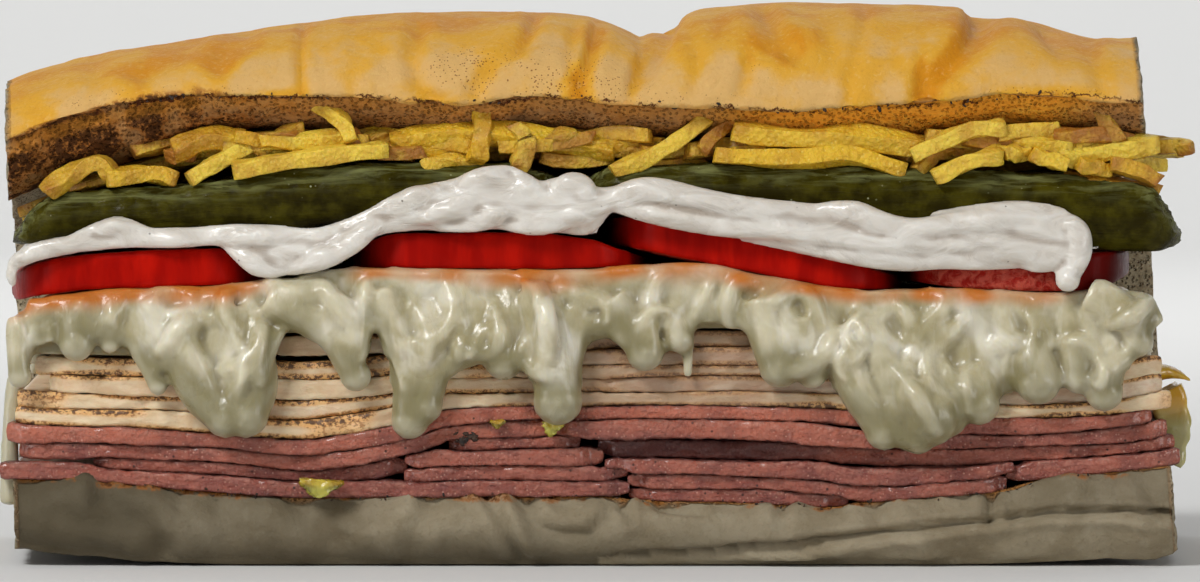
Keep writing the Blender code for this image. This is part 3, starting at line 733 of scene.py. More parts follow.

# %% [markdown]
# The same marks steer the colour. Each point of the mesh gets numbers that say how brown, toasted, freckled
# or pale the bread is there, how much painted shade darkens its pale skin and where painted light brightens
# its crumb, and the material turns them into colour.

# %% Browning of the roll
def browning(x, y, z):
    """How brown the top is, and how freckled."""
    brown = 0.15 + 0.65 * rise(z, lip_line(x) + 3.5, crown_line(x) + 0.3)
    brown += 0.30 * wave(x, y, z, 13, 6)
    brown += 0.2 * wave(x, y, z, 5, 1)
    if y >= 12 or z <= 45:
        return brown + 0.12 * rise(z, 26, 48), 0.0
    for column, row, half_width, half_height, lean, _, amount in TOP_DENTS:
        brown += 0.9 * amount * blot(x, z, column, row, half_width * 1.1, half_height * 1.1, lean)
    for run, width, _, amount in TOP_CREASES:
        if in_reach(x, run, 6):
            brown += 1.1 * amount * math.exp(-(near_run(x, z, run) / (1.7 * width)) ** 2)
    specks = sum(amount * blot(x, z, column, row, half_width, half_height)
                 for column, row, half_width, half_height, amount in SPECKLED)
    return brown, specks


def toasting(x, y, z, v, w):
    """How toasted the lips are: the left end of the upper one, and a broken line on the lower one."""
    if z > 45 and y < -18:
        if w >= 0.5:
            return 0.95 * rise(-x, 34, 60) * rise(wave(x, y, z, 4, 19), -0.5, 0.2)
        ragged = -1.6 - 0.9 * wave(x, 0, 0, 7, 4)
        return rise(lip_line(x) - z, ragged, 0.1) * rise(-x, 40, 58) * (0.7 + 0.7 * wave(x, y, z, 2.0, 11))
    if z < 20 and y < -30 and v < 0.2:
        rim = rise(z - floor_line(x), -0.9 - 0.8 * wave(x, 0, 0, 6, 2), -0.1)
        return rim * rise(wave(x, 0, 0, 11, 3) + 0.5 * wave(x, y, z, 1.6, 21), -0.25, 0.5) * 0.75
    return 0.0


def skin_shade(x, y, z):
    """How much painted shade darkens the pale skin: most near the table and at the left end."""
    if y >= 0:
        return 0.6
    if x >= 0 and z <= BASE_RIDGE(x):
        return 0.0
    low = max(rise(-z, -7.5, 0.5) * (1 - 0.8 * rise(x, 10, 40)), 0.6 * rise(-x, 24, 36), rise(-x, 44, 62))
    return max(low, 0.4 * rise(x, 44, 60))


def roll_paint(point, key):
    """The attributes that the bread's material reads."""
    x, y, z = point
    u, v, w = key
    at_end = u < 0.001 or u > 0.999
    over = min(z - lip_line(x), FAR_OVER) if z > 45 and y < -18 else FAR_OVER
    under_top = over < FAR_OVER and w > 0.4
    brown, specks = browning(x, y, z)
    return {"crumb": 1.0 if w > 0.05 or at_end else 0.0,
            "top": rise(z, 26, 48),
            "glow": rise(x, 10, 28) * rise(-x, -68, -58) if under_top else 0.0,
            "brown": min(max(brown, 0.0), 1.0),
            "toast": min(max(toasting(x, y, z, v, w), 0.0), 1.0),
            "specks": min(specks, 1.0),
            "cut": 1.0 if at_end or y > 0 else 0.0,
            "low": skin_shade(x, y, z),
            "over": over}


roll_bm = shape(gridded_box(ROLL_COLUMNS, ROLL_ROWS, ROLL_LAYERS), roll_place, roll_relief, roll_paint)

# %% [markdown]
# The crust needs two skins: a golden, slightly glossy one on the top half and a pale grey-beige one on the
# bottom half, which never browned. Both have a fine grain. The toasted rim and the dark specks come from
# attributes that are broken up by noise. Crumb is matt and full of pores. Painted shade darkens the pale skin
# towards the table, and painted light makes the crumb under the top half bright orange towards the right.

# %% Bread finish
bread = new_finish("bread", Specular_IOR_Level=0.09, Subsurface_Weight=0.08,
                   Subsurface_Radius=(0.004, 0.002, 0.001), Subsurface_Scale=0.5)
where = place_of(bread)
fine = grain(bread, where, 1400, 6, 0.65)
patchy = grain(bread, where, 160, 5, 0.6, 0.4)
pores = cells(bread, where, 1900)
brown = math_node(bread, "ADD", attribute(bread, "brown"), span(bread, patchy, 0.3, 0.7, -0.22, 0.22))
golden = layered(
    bread, (0.72, 0.435, 0.150),
    (brown, 0.15, 0.65, (0.75, 0.385, 0.038)), (brown, 0.6, 1.15, (0.68, 0.275, 0.012)),
    (fine, 0.55, 0.78, 0.0, 0.4, (0.45, 0.20, 0.04)), (fine, 0.30, 0.46, 0.35, 0.0, (0.80, 0.54, 0.20)))
broad = grain(bread, place_of(bread, (1, 1, 0.5)), 75, 3, 0.5, 0.5)
# The pale skin's colours are darker and greyer than the bread is in open light: they carry painted shade.
pale = layered(
    bread, (0.262, 0.214, 0.136),
    (patchy, 0.30, 0.70, (0.355, 0.300, 0.205)), (broad, 0.44, 0.70, 0.0, 0.35, (0.190, 0.140, 0.078)),
    (grain(bread, where, 420, 4, 0.6), 0.52, 0.74, 0.0, 0.30, (0.44, 0.39, 0.28)),
    (fine, 0.52, 0.75, 0.0, 0.3, (0.15, 0.11, 0.06)))
# Painted shade: the pale skin darkens towards the table and at the left end, as the attribute low says.
pale = mixed(bread, math_node(bread, "MULTIPLY", attribute(bread, "low"), 0.85), pale, (0.080, 0.064, 0.038))
skin = mixed(bread, attribute(bread, "top"), pale, golden)
dots = span(bread, cells(bread, where, 2200), 0.12, 0.32, 1.0, 0.0)
dot_field = span(bread, grain(bread, where, 330, 3), 0.36, 0.52)
speckle = math_node(bread, "MULTIPLY", math_node(bread, "MULTIPLY", dots, dot_field),
                    attribute(bread, "specks"))
skin = layered(bread, skin, (speckle, 0.1, 0.5, 0.0, 0.85, (0.19, 0.050, 0.012)))
crumbly = grain(bread, where, 900, 6, 0.7)
inside = layered(
    bread, (0.30, 0.125, 0.030),
    (crumbly, 0.3, 0.7, (0.52, 0.250, 0.080)), (patchy, 0.42, 0.62, 0.0, 0.6, (0.34, 0.19, 0.085)),
    (pores, 0.08, 0.30, 0.40, 0.0, (0.13, 0.055, 0.018)))
# Painted light: under the top half, from the middle to near the right end, the crumb is bright orange as if
# lit.
lit_crumb = layered(bread, (0.74, 0.29, 0.022), (crumbly, 0.3, 0.7, (0.95, 0.50, 0.065)))
# The open crumb at the cut ends and in the hinge is greyer and darker than in open light: painted shade.
open_crumb = layered(bread, (0.26, 0.205, 0.125), (crumbly, 0.3, 0.65, (0.44, 0.37, 0.25)))
inside = mixed(bread, attribute(bread, "glow"), inside, lit_crumb)
inside = mixed(bread, attribute(bread, "cut"), inside, open_crumb)
surface = mixed(bread, attribute(bread, "crumb"), skin, inside)

# %% Toasted rims of the bread
toast = math_node(bread, "MULTIPLY", attribute(bread, "toast"), span(bread, fine, 0.35, 0.6, 0.55, 1.35))
surface = layered(bread, surface, (toast, 0.15, 0.55, 0.0, 0.7, (0.36, 0.12, 0.018)),
                  (toast, 0.45, 0.85, 0.0, 0.9, (0.060, 0.022, 0.008)))
broken = span(bread, grain(bread, where, 1100, 5, 0.7), 0.3, 0.7, -0.38, 0.38)
ragged = math_node(bread, "ADD", attribute(bread, "over"), broken)
under_lip = math_node(bread, "MULTIPLY", span(bread, ragged, -2.4, -0.9),
                      span(bread, ragged, -0.2, 0.3, 1.0, 0.0))
# The orange band under the lip is stronger where the crumb has painted light.
under_lip = math_node(bread, "MULTIPLY", under_lip, span(bread, attribute(bread, "glow"), 0.0, 1.0, 0.3, 0.8))
surface = mixed(bread, under_lip, surface, (0.84, 0.330, 0.030))
rim_line = span(bread, math_node(bread, "ABSOLUTE", ragged, 0.0), 0.05, 0.30, 1.0, 0.0)
gaps = span(bread, grain(bread, where, 260, 3, 0.5), 0.44, 0.54, 0.1, 1.0)
surface = mixed(bread, math_node(bread, "MULTIPLY", rim_line, gaps), surface, (0.085, 0.022, 0.008))
wire(bread, "Base Color", surface)
glossier = math_node(bread, "MULTIPLY", attribute(bread, "top"), -0.12)
duller = math_node(bread, "MULTIPLY", attribute(bread, "crumb"), 0.35)
dull = math_node(bread, "ADD", glossier, span(bread, fine, 0.3, 0.7, 0.50, 0.64))
wire(bread, "Roughness", math_node(bread, "ADD", dull, duller))
pitted = math_node(bread, "MULTIPLY", span(bread, pores, 0.05, 0.5), attribute(bread, "crumb"))
grained = bumped(bread, fine, 0.00022, bumped(bread, patchy, 0.0004))
wire(bread, "Normal", bumped(bread, pitted, 0.0006, grained))
tell(bread)

finish_piece("bread_roll", roll_bm, "crust", bread, "roll")

# %% [markdown]
# ## The deli slices
# Each slice is a thin slab whose front edge wanders in height. The frame's node already has that line, so the
# piece reads it back from the node's own points: at each place along X, the foremost point is the edge and
# the hindmost ones give the height in the hinge. The slab is then remade with a round, porous edge that
# wavers and curls a little, as sliced meat does.

# %% Reading a slice's edge from its node
def slice_lines(node):
    """A slice's front edge as lines of depth and height along X, then its height in the hinge, its half
    thickness and its two tips.
    """
    points = sorted(tuple(c / MM for c in vert.co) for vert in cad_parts[node].data.vertices)
    stations = []
    for x, y, z in points:
        if not stations or x - stations[-1][0][0] > 0.1:
            stations.append([])
        stations[-1].append((x, y, z))
    tips = [min(station, key=lambda p: p[1]) for station in stations]
    hinge = [z for _, y, z in points if y > 20]
    edges = [[z for _, y, z in station if y < tip[1] + 1] for station, tip in zip(stations, tips)]
    half = max((max(edge) - min(edge)) / 2 for edge in edges)
    depth, height = line([(x, y) for x, y, _ in tips]), line([(x, z) for x, _, z in tips])
    return depth, height, sum(hinge) / len(hinge), half, tips


# %% Building a slice
SLICE_ROWS = 20
SLICE_LAYERS = 7
MEAT = {f"beef_slice_{n}": slice_lines(f"beef_slice_{n}") for n in range(1, 16)}
MEAT |= {f"turkey_slice_{n}": slice_lines(f"turkey_slice_{n}") for n in range(1, 6)}
print("slices read from the frame:", len(MEAT))
THICKEST_HALF = 1.3
# How far a slice reaches past the first and last point of its front edge, where that isn't REACH
REACH = 0.7
REACHES = {"beef_slice_1": (0.7, 1.6), "beef_slice_2": (1.9, 2.4), "beef_slice_3": (1.0, 1.3),
           "beef_slice_4": (1.5, 0.9), "beef_slice_5": (0.7, 1.4), "beef_slice_6": (0.8, 1.6),
           "beef_slice_7": (2.2, 0.8), "beef_slice_8": (0.9, 0.7)}
# Where in the noise each slice's share of the gaps is looked up
PLACES = {node: 1.7 * place for place, node in enumerate(MEAT)}
# Distances along the slice at which the room round its edge is averaged
SMOOTHING = (-1.4, -0.7, 0, 0.7, 1.4)


def ends(node):
    """Where a slice starts and ends along X."""
    tips = MEAT[node][4]
    left, right = REACHES.get(node, (REACH, REACH))
    return tips[0][0] - left, tips[-1][0] + right


def room(node, x, z, side):
    """A slice's share of the way from (x, z) to its neighbour above (side 1) or below (side -1)."""
    nearest, share = 2 * THICKEST_HALF, 0.5
    for other, (_, height, _, _, _) in MEAT.items():
        start, end = ends(other)
        if other != node and start < x < end:
            away = side * (height(x) - z)
            if 0.2 < away < nearest:
                nearest, share = away, 0.5 + 0.24 * side * wave(x, 0, 0, 13, PLACES[node] + PLACES[other])
    half = nearest * share
    if side < 0:
        half = min(half, z - floor_line(x))
    return half


def meat_slice(name, node, slot, finish, seed, waver, browned, dim):
    """A slice of meat for a node: waver says how much its edge wanders, browned how much it is charred.

    dim is painted shade near the middle of the sandwich, where it lies in the shade of its neighbours.
    """
    edge, front, back, half, tips = MEAT[node]
    foremost = min(tip[1] for tip in tips)
    start, end = ends(node)
    length = end - start
    columns = max(24, round(length / 0.5))
    rooms = {}

    def place(u, v, w):
        x = start + length * u
        if u not in rooms:
            rooms[u] = [sum(room(node, x + step, front(x + step), side) for step in SMOOTHING)
                        / len(SMOOTHING) for side in (1, -1)]
        inside = min(x - start, end - x)
        lean = 2 * w - 1
        wander = 0.85 * wave(x, 0, 0, 9, seed) + 0.30 * wave(x, 0, lean, 1.9, seed + 5)
        front_y = foremost + 0.3 * (edge(x) - foremost) + waver * wander
        cut_face = 0.16 * (1 - abs(lean) ** 7) + 0.14 * wave(0.3 * x, lean, 0, 0.8, seed + 8)
        y = front_y + 0.2 + (FILLING_BACK - 1 - front_y) * v**1.9 - cut_face * (1 - v) ** 30
        near = rise(-(y - front_y), -9, -1)
        fill = rooms[u][0] if lean > 0 else rooms[u][1]
        fill *= 1 - 0.10 * max(0.0, wave(x, 0, 0, 8, seed + 2)) - 0.07 * abs(wave(x, y, 0, 2.5, seed + 3))
        thick = half + near * (fill - half)
        z = settle(front(x), back, y) + lean * thick * (0.82 + 0.18 * rise(inside, 0, 0.5))
        if u < 1e-4 or u > 1 - 1e-4:
            x += (1 if u > 0.5 else -1) * 0.15 * (1 - lean * lean)
        return x, y, z

    def relief(point, key):
        x, y, z = point
        amount = 0.13 * rough(x, y, z, 1.3, seed) + 0.10 * wave(0.5 * x, y, z, 0.8, seed + 1) - 0.02
        if key.y > 0.35:
            return 0.3 * amount
        return amount

    def paint(point, key):
        x, y, z = point
        lean = 2 * key.z - 1
        close = rise(-(y - edge(x)), -3.0, -0.3)
        high = rise(lean, 0.1, 0.9)
        low = rise(-lean, 0.1, 0.9)
        char = browned * close * (high * rise(wave(x, 0, 0, 16, seed + 4), -0.25, 0.2)
                                  + low * rise(wave(x, 0, 0, 19, seed + 6), -0.1, 0.25)
                                  + 0.5 * rise(wave(x, 0, 0, 12, seed + 9), 0.1, 0.5))
        hue = 0.5 + 0.45 * wave(x, 0, 0, 19, seed) + 0.42 * math.sin(seed * 5.1)
        # The tone is raised on the upper slices at the left and high in the stack, and lowered on the lowest
        # slices.
        hue += 0.35 * rise(z, 15.5, 19) * rise(-x, -10, 10)
        hue += 0.30 * rise(z, 16.5, 19.5) - 0.22 * rise(-z, -13.5, -11)
        # The key high places the painted highlight along the top edge near the front; the next key places the
        # dark rims, partly painted shade; dim is painted shade.
        return {"high": high * close, "seam": rise(abs(lean), 0.55, 1.0), "char": min(char, 1.0),
                "hue": min(max(hue, 0.0), 1.0), "dim": dim * rise(x, -16, -6) * rise(-x, -34, -20)}

    bm = shape(gridded_box(columns, SLICE_ROWS, SLICE_LAYERS), place, relief, paint)
    return finish_piece(name, bm, slot, finish, node)


# %% Beef finish
beef = new_finish("beef", Subsurface_Weight=0.22, Subsurface_Radius=(0.0025, 0.0008, 0.0005),
                  Subsurface_Scale=0.5, Coat_Weight=0.5, Coat_Roughness=0.14, Specular_IOR_Level=0.35)
where = place_of(beef)
along_grain = grain(beef, place_of(beef, (0.45, 1, 1)), 1300, 6, 0.7, 0.5)
blotch = grain(beef, where, 260, 4, 0.55)
granules = cells(beef, where, 1700)
flesh = mixed(beef, attribute(beef, "hue"), (0.24, 0.060, 0.050), (0.58, 0.170, 0.100))
flesh = layered(beef, flesh, (along_grain, 0.36, 0.66, 0.0, 0.55, (0.54, 0.190, 0.125)),
                (blotch, 0.44, 0.68, 0.0, 0.5, (0.17, 0.042, 0.040)))
fat = math_node(beef, "MULTIPLY", span(beef, granules, 0.12, 0.30, 1.0, 0.0), span(beef, blotch, 0.38, 0.6))
flesh = mixed(beef, math_node(beef, "MULTIPLY", fat, 0.55), flesh, (0.74, 0.40, 0.30))
# Painted highlight: a paler line along the top edge of each slice near the front, broken by the grain.
sheen = math_node(beef, "MULTIPLY", attribute(beef, "high"), span(beef, along_grain, 0.4, 0.65, 0.0, 0.5))
flesh = mixed(beef, sheen, flesh, (0.64, 0.34, 0.27))
burnt = math_node(beef, "MULTIPLY", attribute(beef, "seam"), span(beef, along_grain, 0.34, 0.6, 0.25, 1.0))
flesh = mixed(beef, math_node(beef, "MULTIPLY", burnt, attribute(beef, "char")), flesh, (0.075, 0.022, 0.014))
pepper_dots = math_node(beef, "MULTIPLY", span(beef, cells(beef, where, 700), 0.08, 0.17, 0.9, 0.0),
                        span(beef, grain(beef, where, 210, 2), 0.46, 0.58))
flesh = mixed(beef, pepper_dots, flesh, (0.06, 0.020, 0.014))
# Dark rims along the top and bottom of each slice: partly a peppery crust, partly painted shade where the
# slices press together.
rind = math_node(beef, "POWER", attribute(beef, "seam"), 5.0)
rind = math_node(beef, "MULTIPLY", rind, span(beef, blotch, 0.35, 0.6, 0.35, 0.8))
flesh = mixed(beef, rind, flesh, (0.115, 0.030, 0.026))
# Painted shade near the middle of the sandwich, by the attribute dim.
flesh = mixed(beef, attribute(beef, "dim"), flesh, (0.085, 0.022, 0.020))
wire(beef, "Base Color", flesh)
wire(beef, "Roughness", span(beef, along_grain, 0.3, 0.7, 0.24, 0.5))
wire(beef, "Normal", bumped(beef, along_grain, 0.0006, bumped(beef, granules, 0.0003)))
tell(beef)

# %% Turkey finish
turkey = new_finish("turkey", Subsurface_Weight=0.3, Subsurface_Radius=(0.003, 0.0016, 0.001),
                    Subsurface_Scale=0.6, Coat_Weight=0.2, Coat_Roughness=0.25)
where = place_of(turkey)
fibre = grain(turkey, place_of(turkey, (0.3, 1, 1)), 900, 6, 0.6, 0.5)
blotch = grain(turkey, where, 240, 4, 0.5)
broken = grain(turkey, place_of(turkey, (0.8, 1, 1)), 2100, 4, 0.7)
char = math_node(turkey, "MULTIPLY", attribute(turkey, "char"), span(turkey, broken, 0.38, 0.60, 0.0, 1.35))
flesh = layered(
    turkey, (0.74, 0.51, 0.33),
    (fibre, 0.3, 0.7, (0.94, 0.77, 0.58)), (blotch, 0.4, 0.7, 0.0, 0.5, (0.70, 0.40, 0.27)),
    (attribute(turkey, "hue"), 0.3, 0.9, 0.0, 0.35, (0.78, 0.60, 0.30)),
    (attribute(turkey, "char"), 0.1, 0.7, 0.0, 0.8, (0.80, 0.42, 0.12)),
    (char, 0.35, 0.7, 0.0, 0.8, (0.36, 0.15, 0.04)), (char, 0.72, 1.02, 0.0, 0.85, (0.085, 0.040, 0.018)))
# Painted shade near the middle of the sandwich, by the attribute dim.
flesh = mixed(turkey, attribute(turkey, "dim"), flesh, (0.30, 0.17, 0.095))
wire(turkey, "Base Color", flesh)
wire(turkey, "Roughness", span(turkey, fibre, 0.3, 0.7, 0.34, 0.55))
wire(turkey, "Normal", bumped(turkey, fibre, 0.00022, bumped(turkey, broken, 0.00012)))
tell(turkey)

# %% Stack the slices
# The recessed beef slice gets painted shade near the middle of the sandwich, and so do the turkey slices.
RECESSED_BEEF = 9
for number in range(1, 16):
    meat_slice(f"beef_{number}", f"beef_slice_{number}", "beef", beef, 3.7 * number, waver=1.0, browned=0.9,
               dim=0.75 if number == RECESSED_BEEF else 0.0)
for number in range(1, 6):
    meat_slice(f"turkey_{number}", f"turkey_slice_{number}", "turkey", turkey, 60 + 4.3 * number, waver=0.8,
               browned=1.0, dim=0.65)

# %% [markdown]
# ## Melted cheese
# The cheese went on as shreds and melted: strands sag over the meat, run together and hang in drips with
# round ends. So it is built the same way. A core lies between turkey and tomato, many short strands lie on
# its front, and the large drips of the real one are drawn as strands of their own. A voxel remesh fuses them,
# and smoothing melts the joints.

# %% Where the cheese hangs
cheese_top = line([
    (-77, 33.6), (-64.6, 35.5), (-51.6, 35.9), (-43.8, 36.7), (-38.6, 37.2), (-32, 38.4), (-19, 38.1),
    (-5, 38.1), (7, 38.8), (13.4, 38.9), (26.4, 36.4), (36.8, 35.4), (47, 35.7), (59, 35.1), (70, 35.4),
    (73, 34.5),
])
cheese_under = line([
    (-75.7, 27.4), (-51.6, 27.0), (-43.2, 27.6), (-41.7, 30.0), (-19, 30.4), (0.4, 30.6), (21.9, 30.7),
    (23.5, 28.9), (52.4, 27.8), (70.6, 29.9), (73, 30.3),
])
drip_line = drawn([
    (15, 372), (24, 372), (40, 352), (110, 350), (150, 375), (185, 392), (225, 420), (262, 395), (272, 350),
    (285, 334), (318, 338), (330, 362), (362, 366), (367, 330), (388, 335), (400, 392), (425, 400),
    (445, 390), (470, 362), (520, 364), (535, 395), (572, 400), (590, 352), (625, 345), (660, 362),
    (690, 345), (700, 332), (750, 334), (762, 368), (800, 384), (830, 384), (850, 402), (880, 430),
    (935, 440), (960, 420), (1000, 405), (1010, 385), (1060, 392), (1080, 378), (1105, 396), (1125, 378),
    (1140, 345), (1148, 335),
])
# Drips: grid points down each one, and the radius in millimetres at its start and end
DRIPS = [
    ([(18, 318), (16, 345), (20, 376)], 1.6, 1.5), ([(72, 300), (70, 322), (77, 344)], 1.5, 2.1),
    ([(104, 305), (108, 330), (110, 344)], 1.5, 1.2), ([(120, 315), (140, 350), (158, 386)], 1.4, 1.2),
    ([(172, 325), (186, 372), (204, 402), (226, 415)], 2.4, 2.7),
    ([(252, 325), (262, 372), (258, 398), (246, 414)], 2.2, 2.8),
    ([(200, 320), (214, 360), (226, 392)], 1.5, 1.3), ([(232, 310), (238, 350), (236, 400)], 2.6, 2.2),
    ([(150, 300), (165, 335), (176, 360)], 2.0, 1.8), ([(270, 300), (295, 312), (318, 322)], 2.6, 2.4),
    ([(322, 300), (336, 335), (346, 358), (356, 376)], 2.4, 1.9),
    ([(380, 292), (392, 325), (400, 345)], 2.2, 2.2),
    ([(402, 335), (414, 368), (408, 398), (410, 420)], 2.2, 2.3),
    ([(438, 340), (434, 370), (424, 405)], 2.4, 2.3), ([(464, 285), (452, 330), (428, 368)], 1.7, 1.8),
    ([(478, 300), (480, 330), (470, 350)], 1.8, 2.0), ([(498, 315), (503, 345), (504, 360)], 2.4, 2.4),
    ([(540, 300), (549, 350), (556, 382), (558, 400)], 3.2, 3.0),
    ([(575, 310), (572, 345), (562, 380)], 2.4, 1.8), ([(612, 300), (634, 332), (645, 352)], 2.4, 2.3),
    ([(688, 330), (688, 355), (688, 372)], 0.9, 0.7), ([(668, 310), (676, 330), (680, 340)], 1.8, 1.6),
    ([(758, 300), (768, 345), (780, 366)], 2.6, 2.6), ([(800, 320), (806, 350), (812, 374)], 2.6, 1.8),
    ([(842, 340), (852, 385), (872, 412), (884, 430)], 2.6, 2.4),
    ([(900, 380), (908, 410), (918, 434)], 2.8, 2.4), ([(928, 380), (932, 402), (930, 416)], 2.8, 3.6),
    ([(972, 370), (980, 390), (979, 404)], 2.2, 2.5), ([(1030, 355), (1038, 370), (1038, 382)], 2.8, 2.7),
    ([(1103, 330), (1114, 370), (1104, 392)], 1.7, 2.3),
    ([(1088, 295), (1118, 308), (1134, 325), (1139, 342)], 2.6, 1.8),
    ([(1072, 340), (1080, 360), (1078, 378)], 2.2, 1.9), ([(870, 330), (890, 370), (900, 410)], 2.4, 2.6),
    ([(950, 380), (956, 400), (950, 420)], 2.4, 2.0),
]
# Openings where the turkey shows through: column, row, half width, half height
CHEESE_GAPS = [
    (308, 356, 30, 24), (378, 340, 12, 18), (726, 350, 26, 17), (462, 386, 22, 16), (88, 370, 36, 12),
]
CHEESE_DEPTH = -38.2
CHEESE_SHEET = -38.7
CHEESE_LEFT = -73.5
CHEESE_LENGTH = 145
CHEESE_BACK = (29.6, 35.2)  # the height of its underside and its top in the hinge
# Strands that lie on the front of the curtain, as grid points, with their radius in millimetres
CHEESE_STRANDS = [
    ([(60, 318), (78, 300), (100, 312), (92, 334)], 1.3), ([(30, 320), (46, 306), (66, 302)], 1.2),
    ([(128, 300), (140, 330), (162, 350)], 1.4), ([(186, 300), (178, 330), (196, 366), (212, 396)], 1.7),
    ([(214, 296), (222, 330), (214, 360)], 1.5), ([(246, 300), (262, 330), (252, 372), (236, 400)], 1.8),
    ([(266, 284), (292, 300), (322, 296)], 1.6), ([(318, 280), (342, 302), (346, 340)], 1.9),
    ([(352, 284), (372, 300), (392, 322)], 1.7), ([(398, 300), (412, 330), (414, 372)], 1.9),
    ([(420, 296), (440, 316), (436, 350), (420, 380)], 1.8), ([(462, 284), (470, 312), (486, 330)], 1.5),
    ([(440, 372), (462, 352), (492, 350)], 1.6), ([(500, 284), (520, 310), (516, 344)], 1.9),
    ([(530, 290), (548, 320), (546, 366)], 2.0), ([(556, 286), (580, 300), (606, 300)], 1.6),
    ([(560, 320), (590, 330), (618, 322)], 1.7), ([(598, 310), (620, 330), (640, 346)], 1.8),
    ([(650, 300), (664, 318), (684, 330)], 1.7), ([(700, 296), (716, 310), (744, 312)], 1.7),
    ([(758, 296), (782, 308), (790, 336), (784, 362)], 1.9), ([(800, 300), (826, 316), (836, 344)], 1.8),
    ([(818, 350), (846, 352), (862, 372)], 1.7), ([(850, 300), (868, 330), (890, 350)], 1.8),
    ([(848, 372), (862, 402), (886, 424)], 1.9), ([(896, 300), (880, 318), (860, 326)], 1.5),
    ([(935, 290), (925, 320), (898, 352)], 1.7), ([(968, 300), (962, 330), (944, 356)], 1.7),
    ([(905, 380), (920, 400), (946, 404)], 2.1), ([(884, 410), (892, 430), (910, 440)], 1.8),
    ([(985, 350), (1004, 338), (1024, 344)], 1.6), ([(996, 300), (1010, 326), (1006, 352)], 1.6),
    ([(1020, 300), (1040, 316), (1046, 350)], 1.8), ([(1060, 300), (1072, 330), (1064, 364)], 1.8),
    ([(1012, 372), (1036, 382), (1060, 374)], 2.1), ([(1084, 310), (1096, 340), (1092, 370)], 1.6),
    ([(1098, 290), (1122, 306), (1140, 328)], 2.0), ([(960, 372), (980, 390), (978, 408)], 1.9),
    ([(725, 296), (740, 322), (764, 330)], 1.4), ([(300, 316), (322, 326), (338, 350)], 1.6),
]

# %% [markdown]
# A strand has to rest on what is already there, so its depth is read from the balls that the earlier
# strands are made of.

# %% Laying strands on strands
def in_gap(column, row):
    """Whether a grid point lies in one of the openings."""
    return any(((column - c) / w) ** 2 + ((row - r) / h) ** 2 < 1 for c, r, w, h in CHEESE_GAPS)


# How many loose shreds lie on the strands, with their radii and lengths: wide ones first, then thin ones
LOOSE_SHREDS = [(60, (1.1, 1.6), (8, 15)), (40, (0.6, 0.9), (4, 8))]


class Surface:
    """The front of what has been laid so far, as balls along its strands, for laying more on it."""

    BALL_STEP = 0.7

    def __init__(self, strands):
        balls = []
        for run in strands:
            for a, b in zip(run, run[1:]):
                steps = max(1, math.ceil(math.dist(a[:3], b[:3]) / self.BALL_STEP))
                balls += [[p + (q - p) * i / steps for p, q in zip(a, b)] for i in range(steps + 1)]
        self.balls = np.array(balls)

    def depth(self, x, z):
        """How far forward the surface is at (x, z)."""
        cx, cy, cz, radius = self.balls.T
        room = radius**2 - (cx - x) ** 2 - (cz - z) ** 2
        touched = room > 0
        if not touched.any():
            return CHEESE_SHEET
        return min(CHEESE_SHEET, (cy[touched] - np.sqrt(room[touched])).min())

    def lay(self, points, sink):
        """A run of (x, z, radius) points as a strand on the surface, sunk in by a share of its radius."""
        last = len(points) - 1
        return [(x, self.depth(x, z) + radius * (sink + (0.9 if i in (0, last) else 0)), z, radius)
                for i, (x, z, radius) in enumerate(points)]

# %% [markdown]
# The edge and the drips come first. The drawn strands are laid on them, and the loose shreds on those.

# %% Strands of the curtain
def cheese_strands(dice):
    """The hanging curtain, its rim under the tomato, the large drips and the strands on them."""
    made = []
    x = -74.5
    while x < 72.5:
        top, low = cheese_top(x) - 1.2, drip_line(x)
        bottom = min(low + 1.3, top - 1)
        sway = dice.uniform(-1.2, 1.2)
        radius = dice.uniform(1.05, 1.4)
        depth = CHEESE_DEPTH + dice.uniform(-0.4, 0.5)
        made.append([(x, -36.5, top, radius), (x + 0.3 * sway, depth, 0.35 * bottom + 0.65 * top, radius),
                     (x + sway, depth + 0.2, bottom, radius * 0.95)])
        x += dice.uniform(1.3, 1.9)
    x = -74.0
    while x < 70:
        length = dice.uniform(5, 11)
        radius = dice.uniform(1.0, 1.4)
        ends = [min(x + length * t, 71.5) for t in (0, 0.35, 0.7, 1)]
        made.append([(px, -37.6 + dice.uniform(-0.4, 0.4),
                      cheese_top(px) + 0.7 - radius + dice.uniform(-0.3, 0.2), radius) for px in ends])
        x += length * 0.6
    for run, first, last in DRIPS:
        points = []
        for i, (column, row) in enumerate(run):
            radius = first + (last - first) * i / (len(run) - 1)
            depth = CHEESE_DEPTH + 0.3 - 0.5 * radius + (1.0 if i == 0 else 0)
            points.append((along(column), depth, up(row), radius))
        made.append(points)
    surface = Surface(made)
    for run, radius in CHEESE_STRANDS:
        last = len(run) - 1
        points = [(along(column), up(row), 1.12 * radius * (0.8 if i in (0, last) else 1))
                  for i, (column, row) in enumerate(run)]
        made.append(surface.lay(points, 0.42))
    surface = Surface(made)
    for count, widths, lengths in LOOSE_SHREDS:
        for _ in range(count):
            column, row = dice.uniform(18, 1140), dice.uniform(272, 432)
            x, z = along(column), up(row)
            if in_gap(column, row) or not drip_line(x) + 0.8 < z < cheese_top(x) - 0.4:
                continue
            radius = dice.uniform(*widths)
            tilt = dice.gauss(math.pi / 2, 0.5)
            length = dice.uniform(*lengths)
            bend = dice.uniform(-1.4, 1.4)
            points = []
            for i in range(6):
                t = i / 5 - 0.5
                px = x + math.cos(tilt + bend * t) * length * t
                pz = z - math.sin(tilt + bend * t) * length * t
                pz = min(max(pz, drip_line(px) + 0.9 * radius), cheese_top(px) - radius * 0.5)
                points.append((px, pz, radius * (1 - 1.4 * t * t)))
            made.append(surface.lay(points, 0.3))
        surface = Surface(made)
    return made


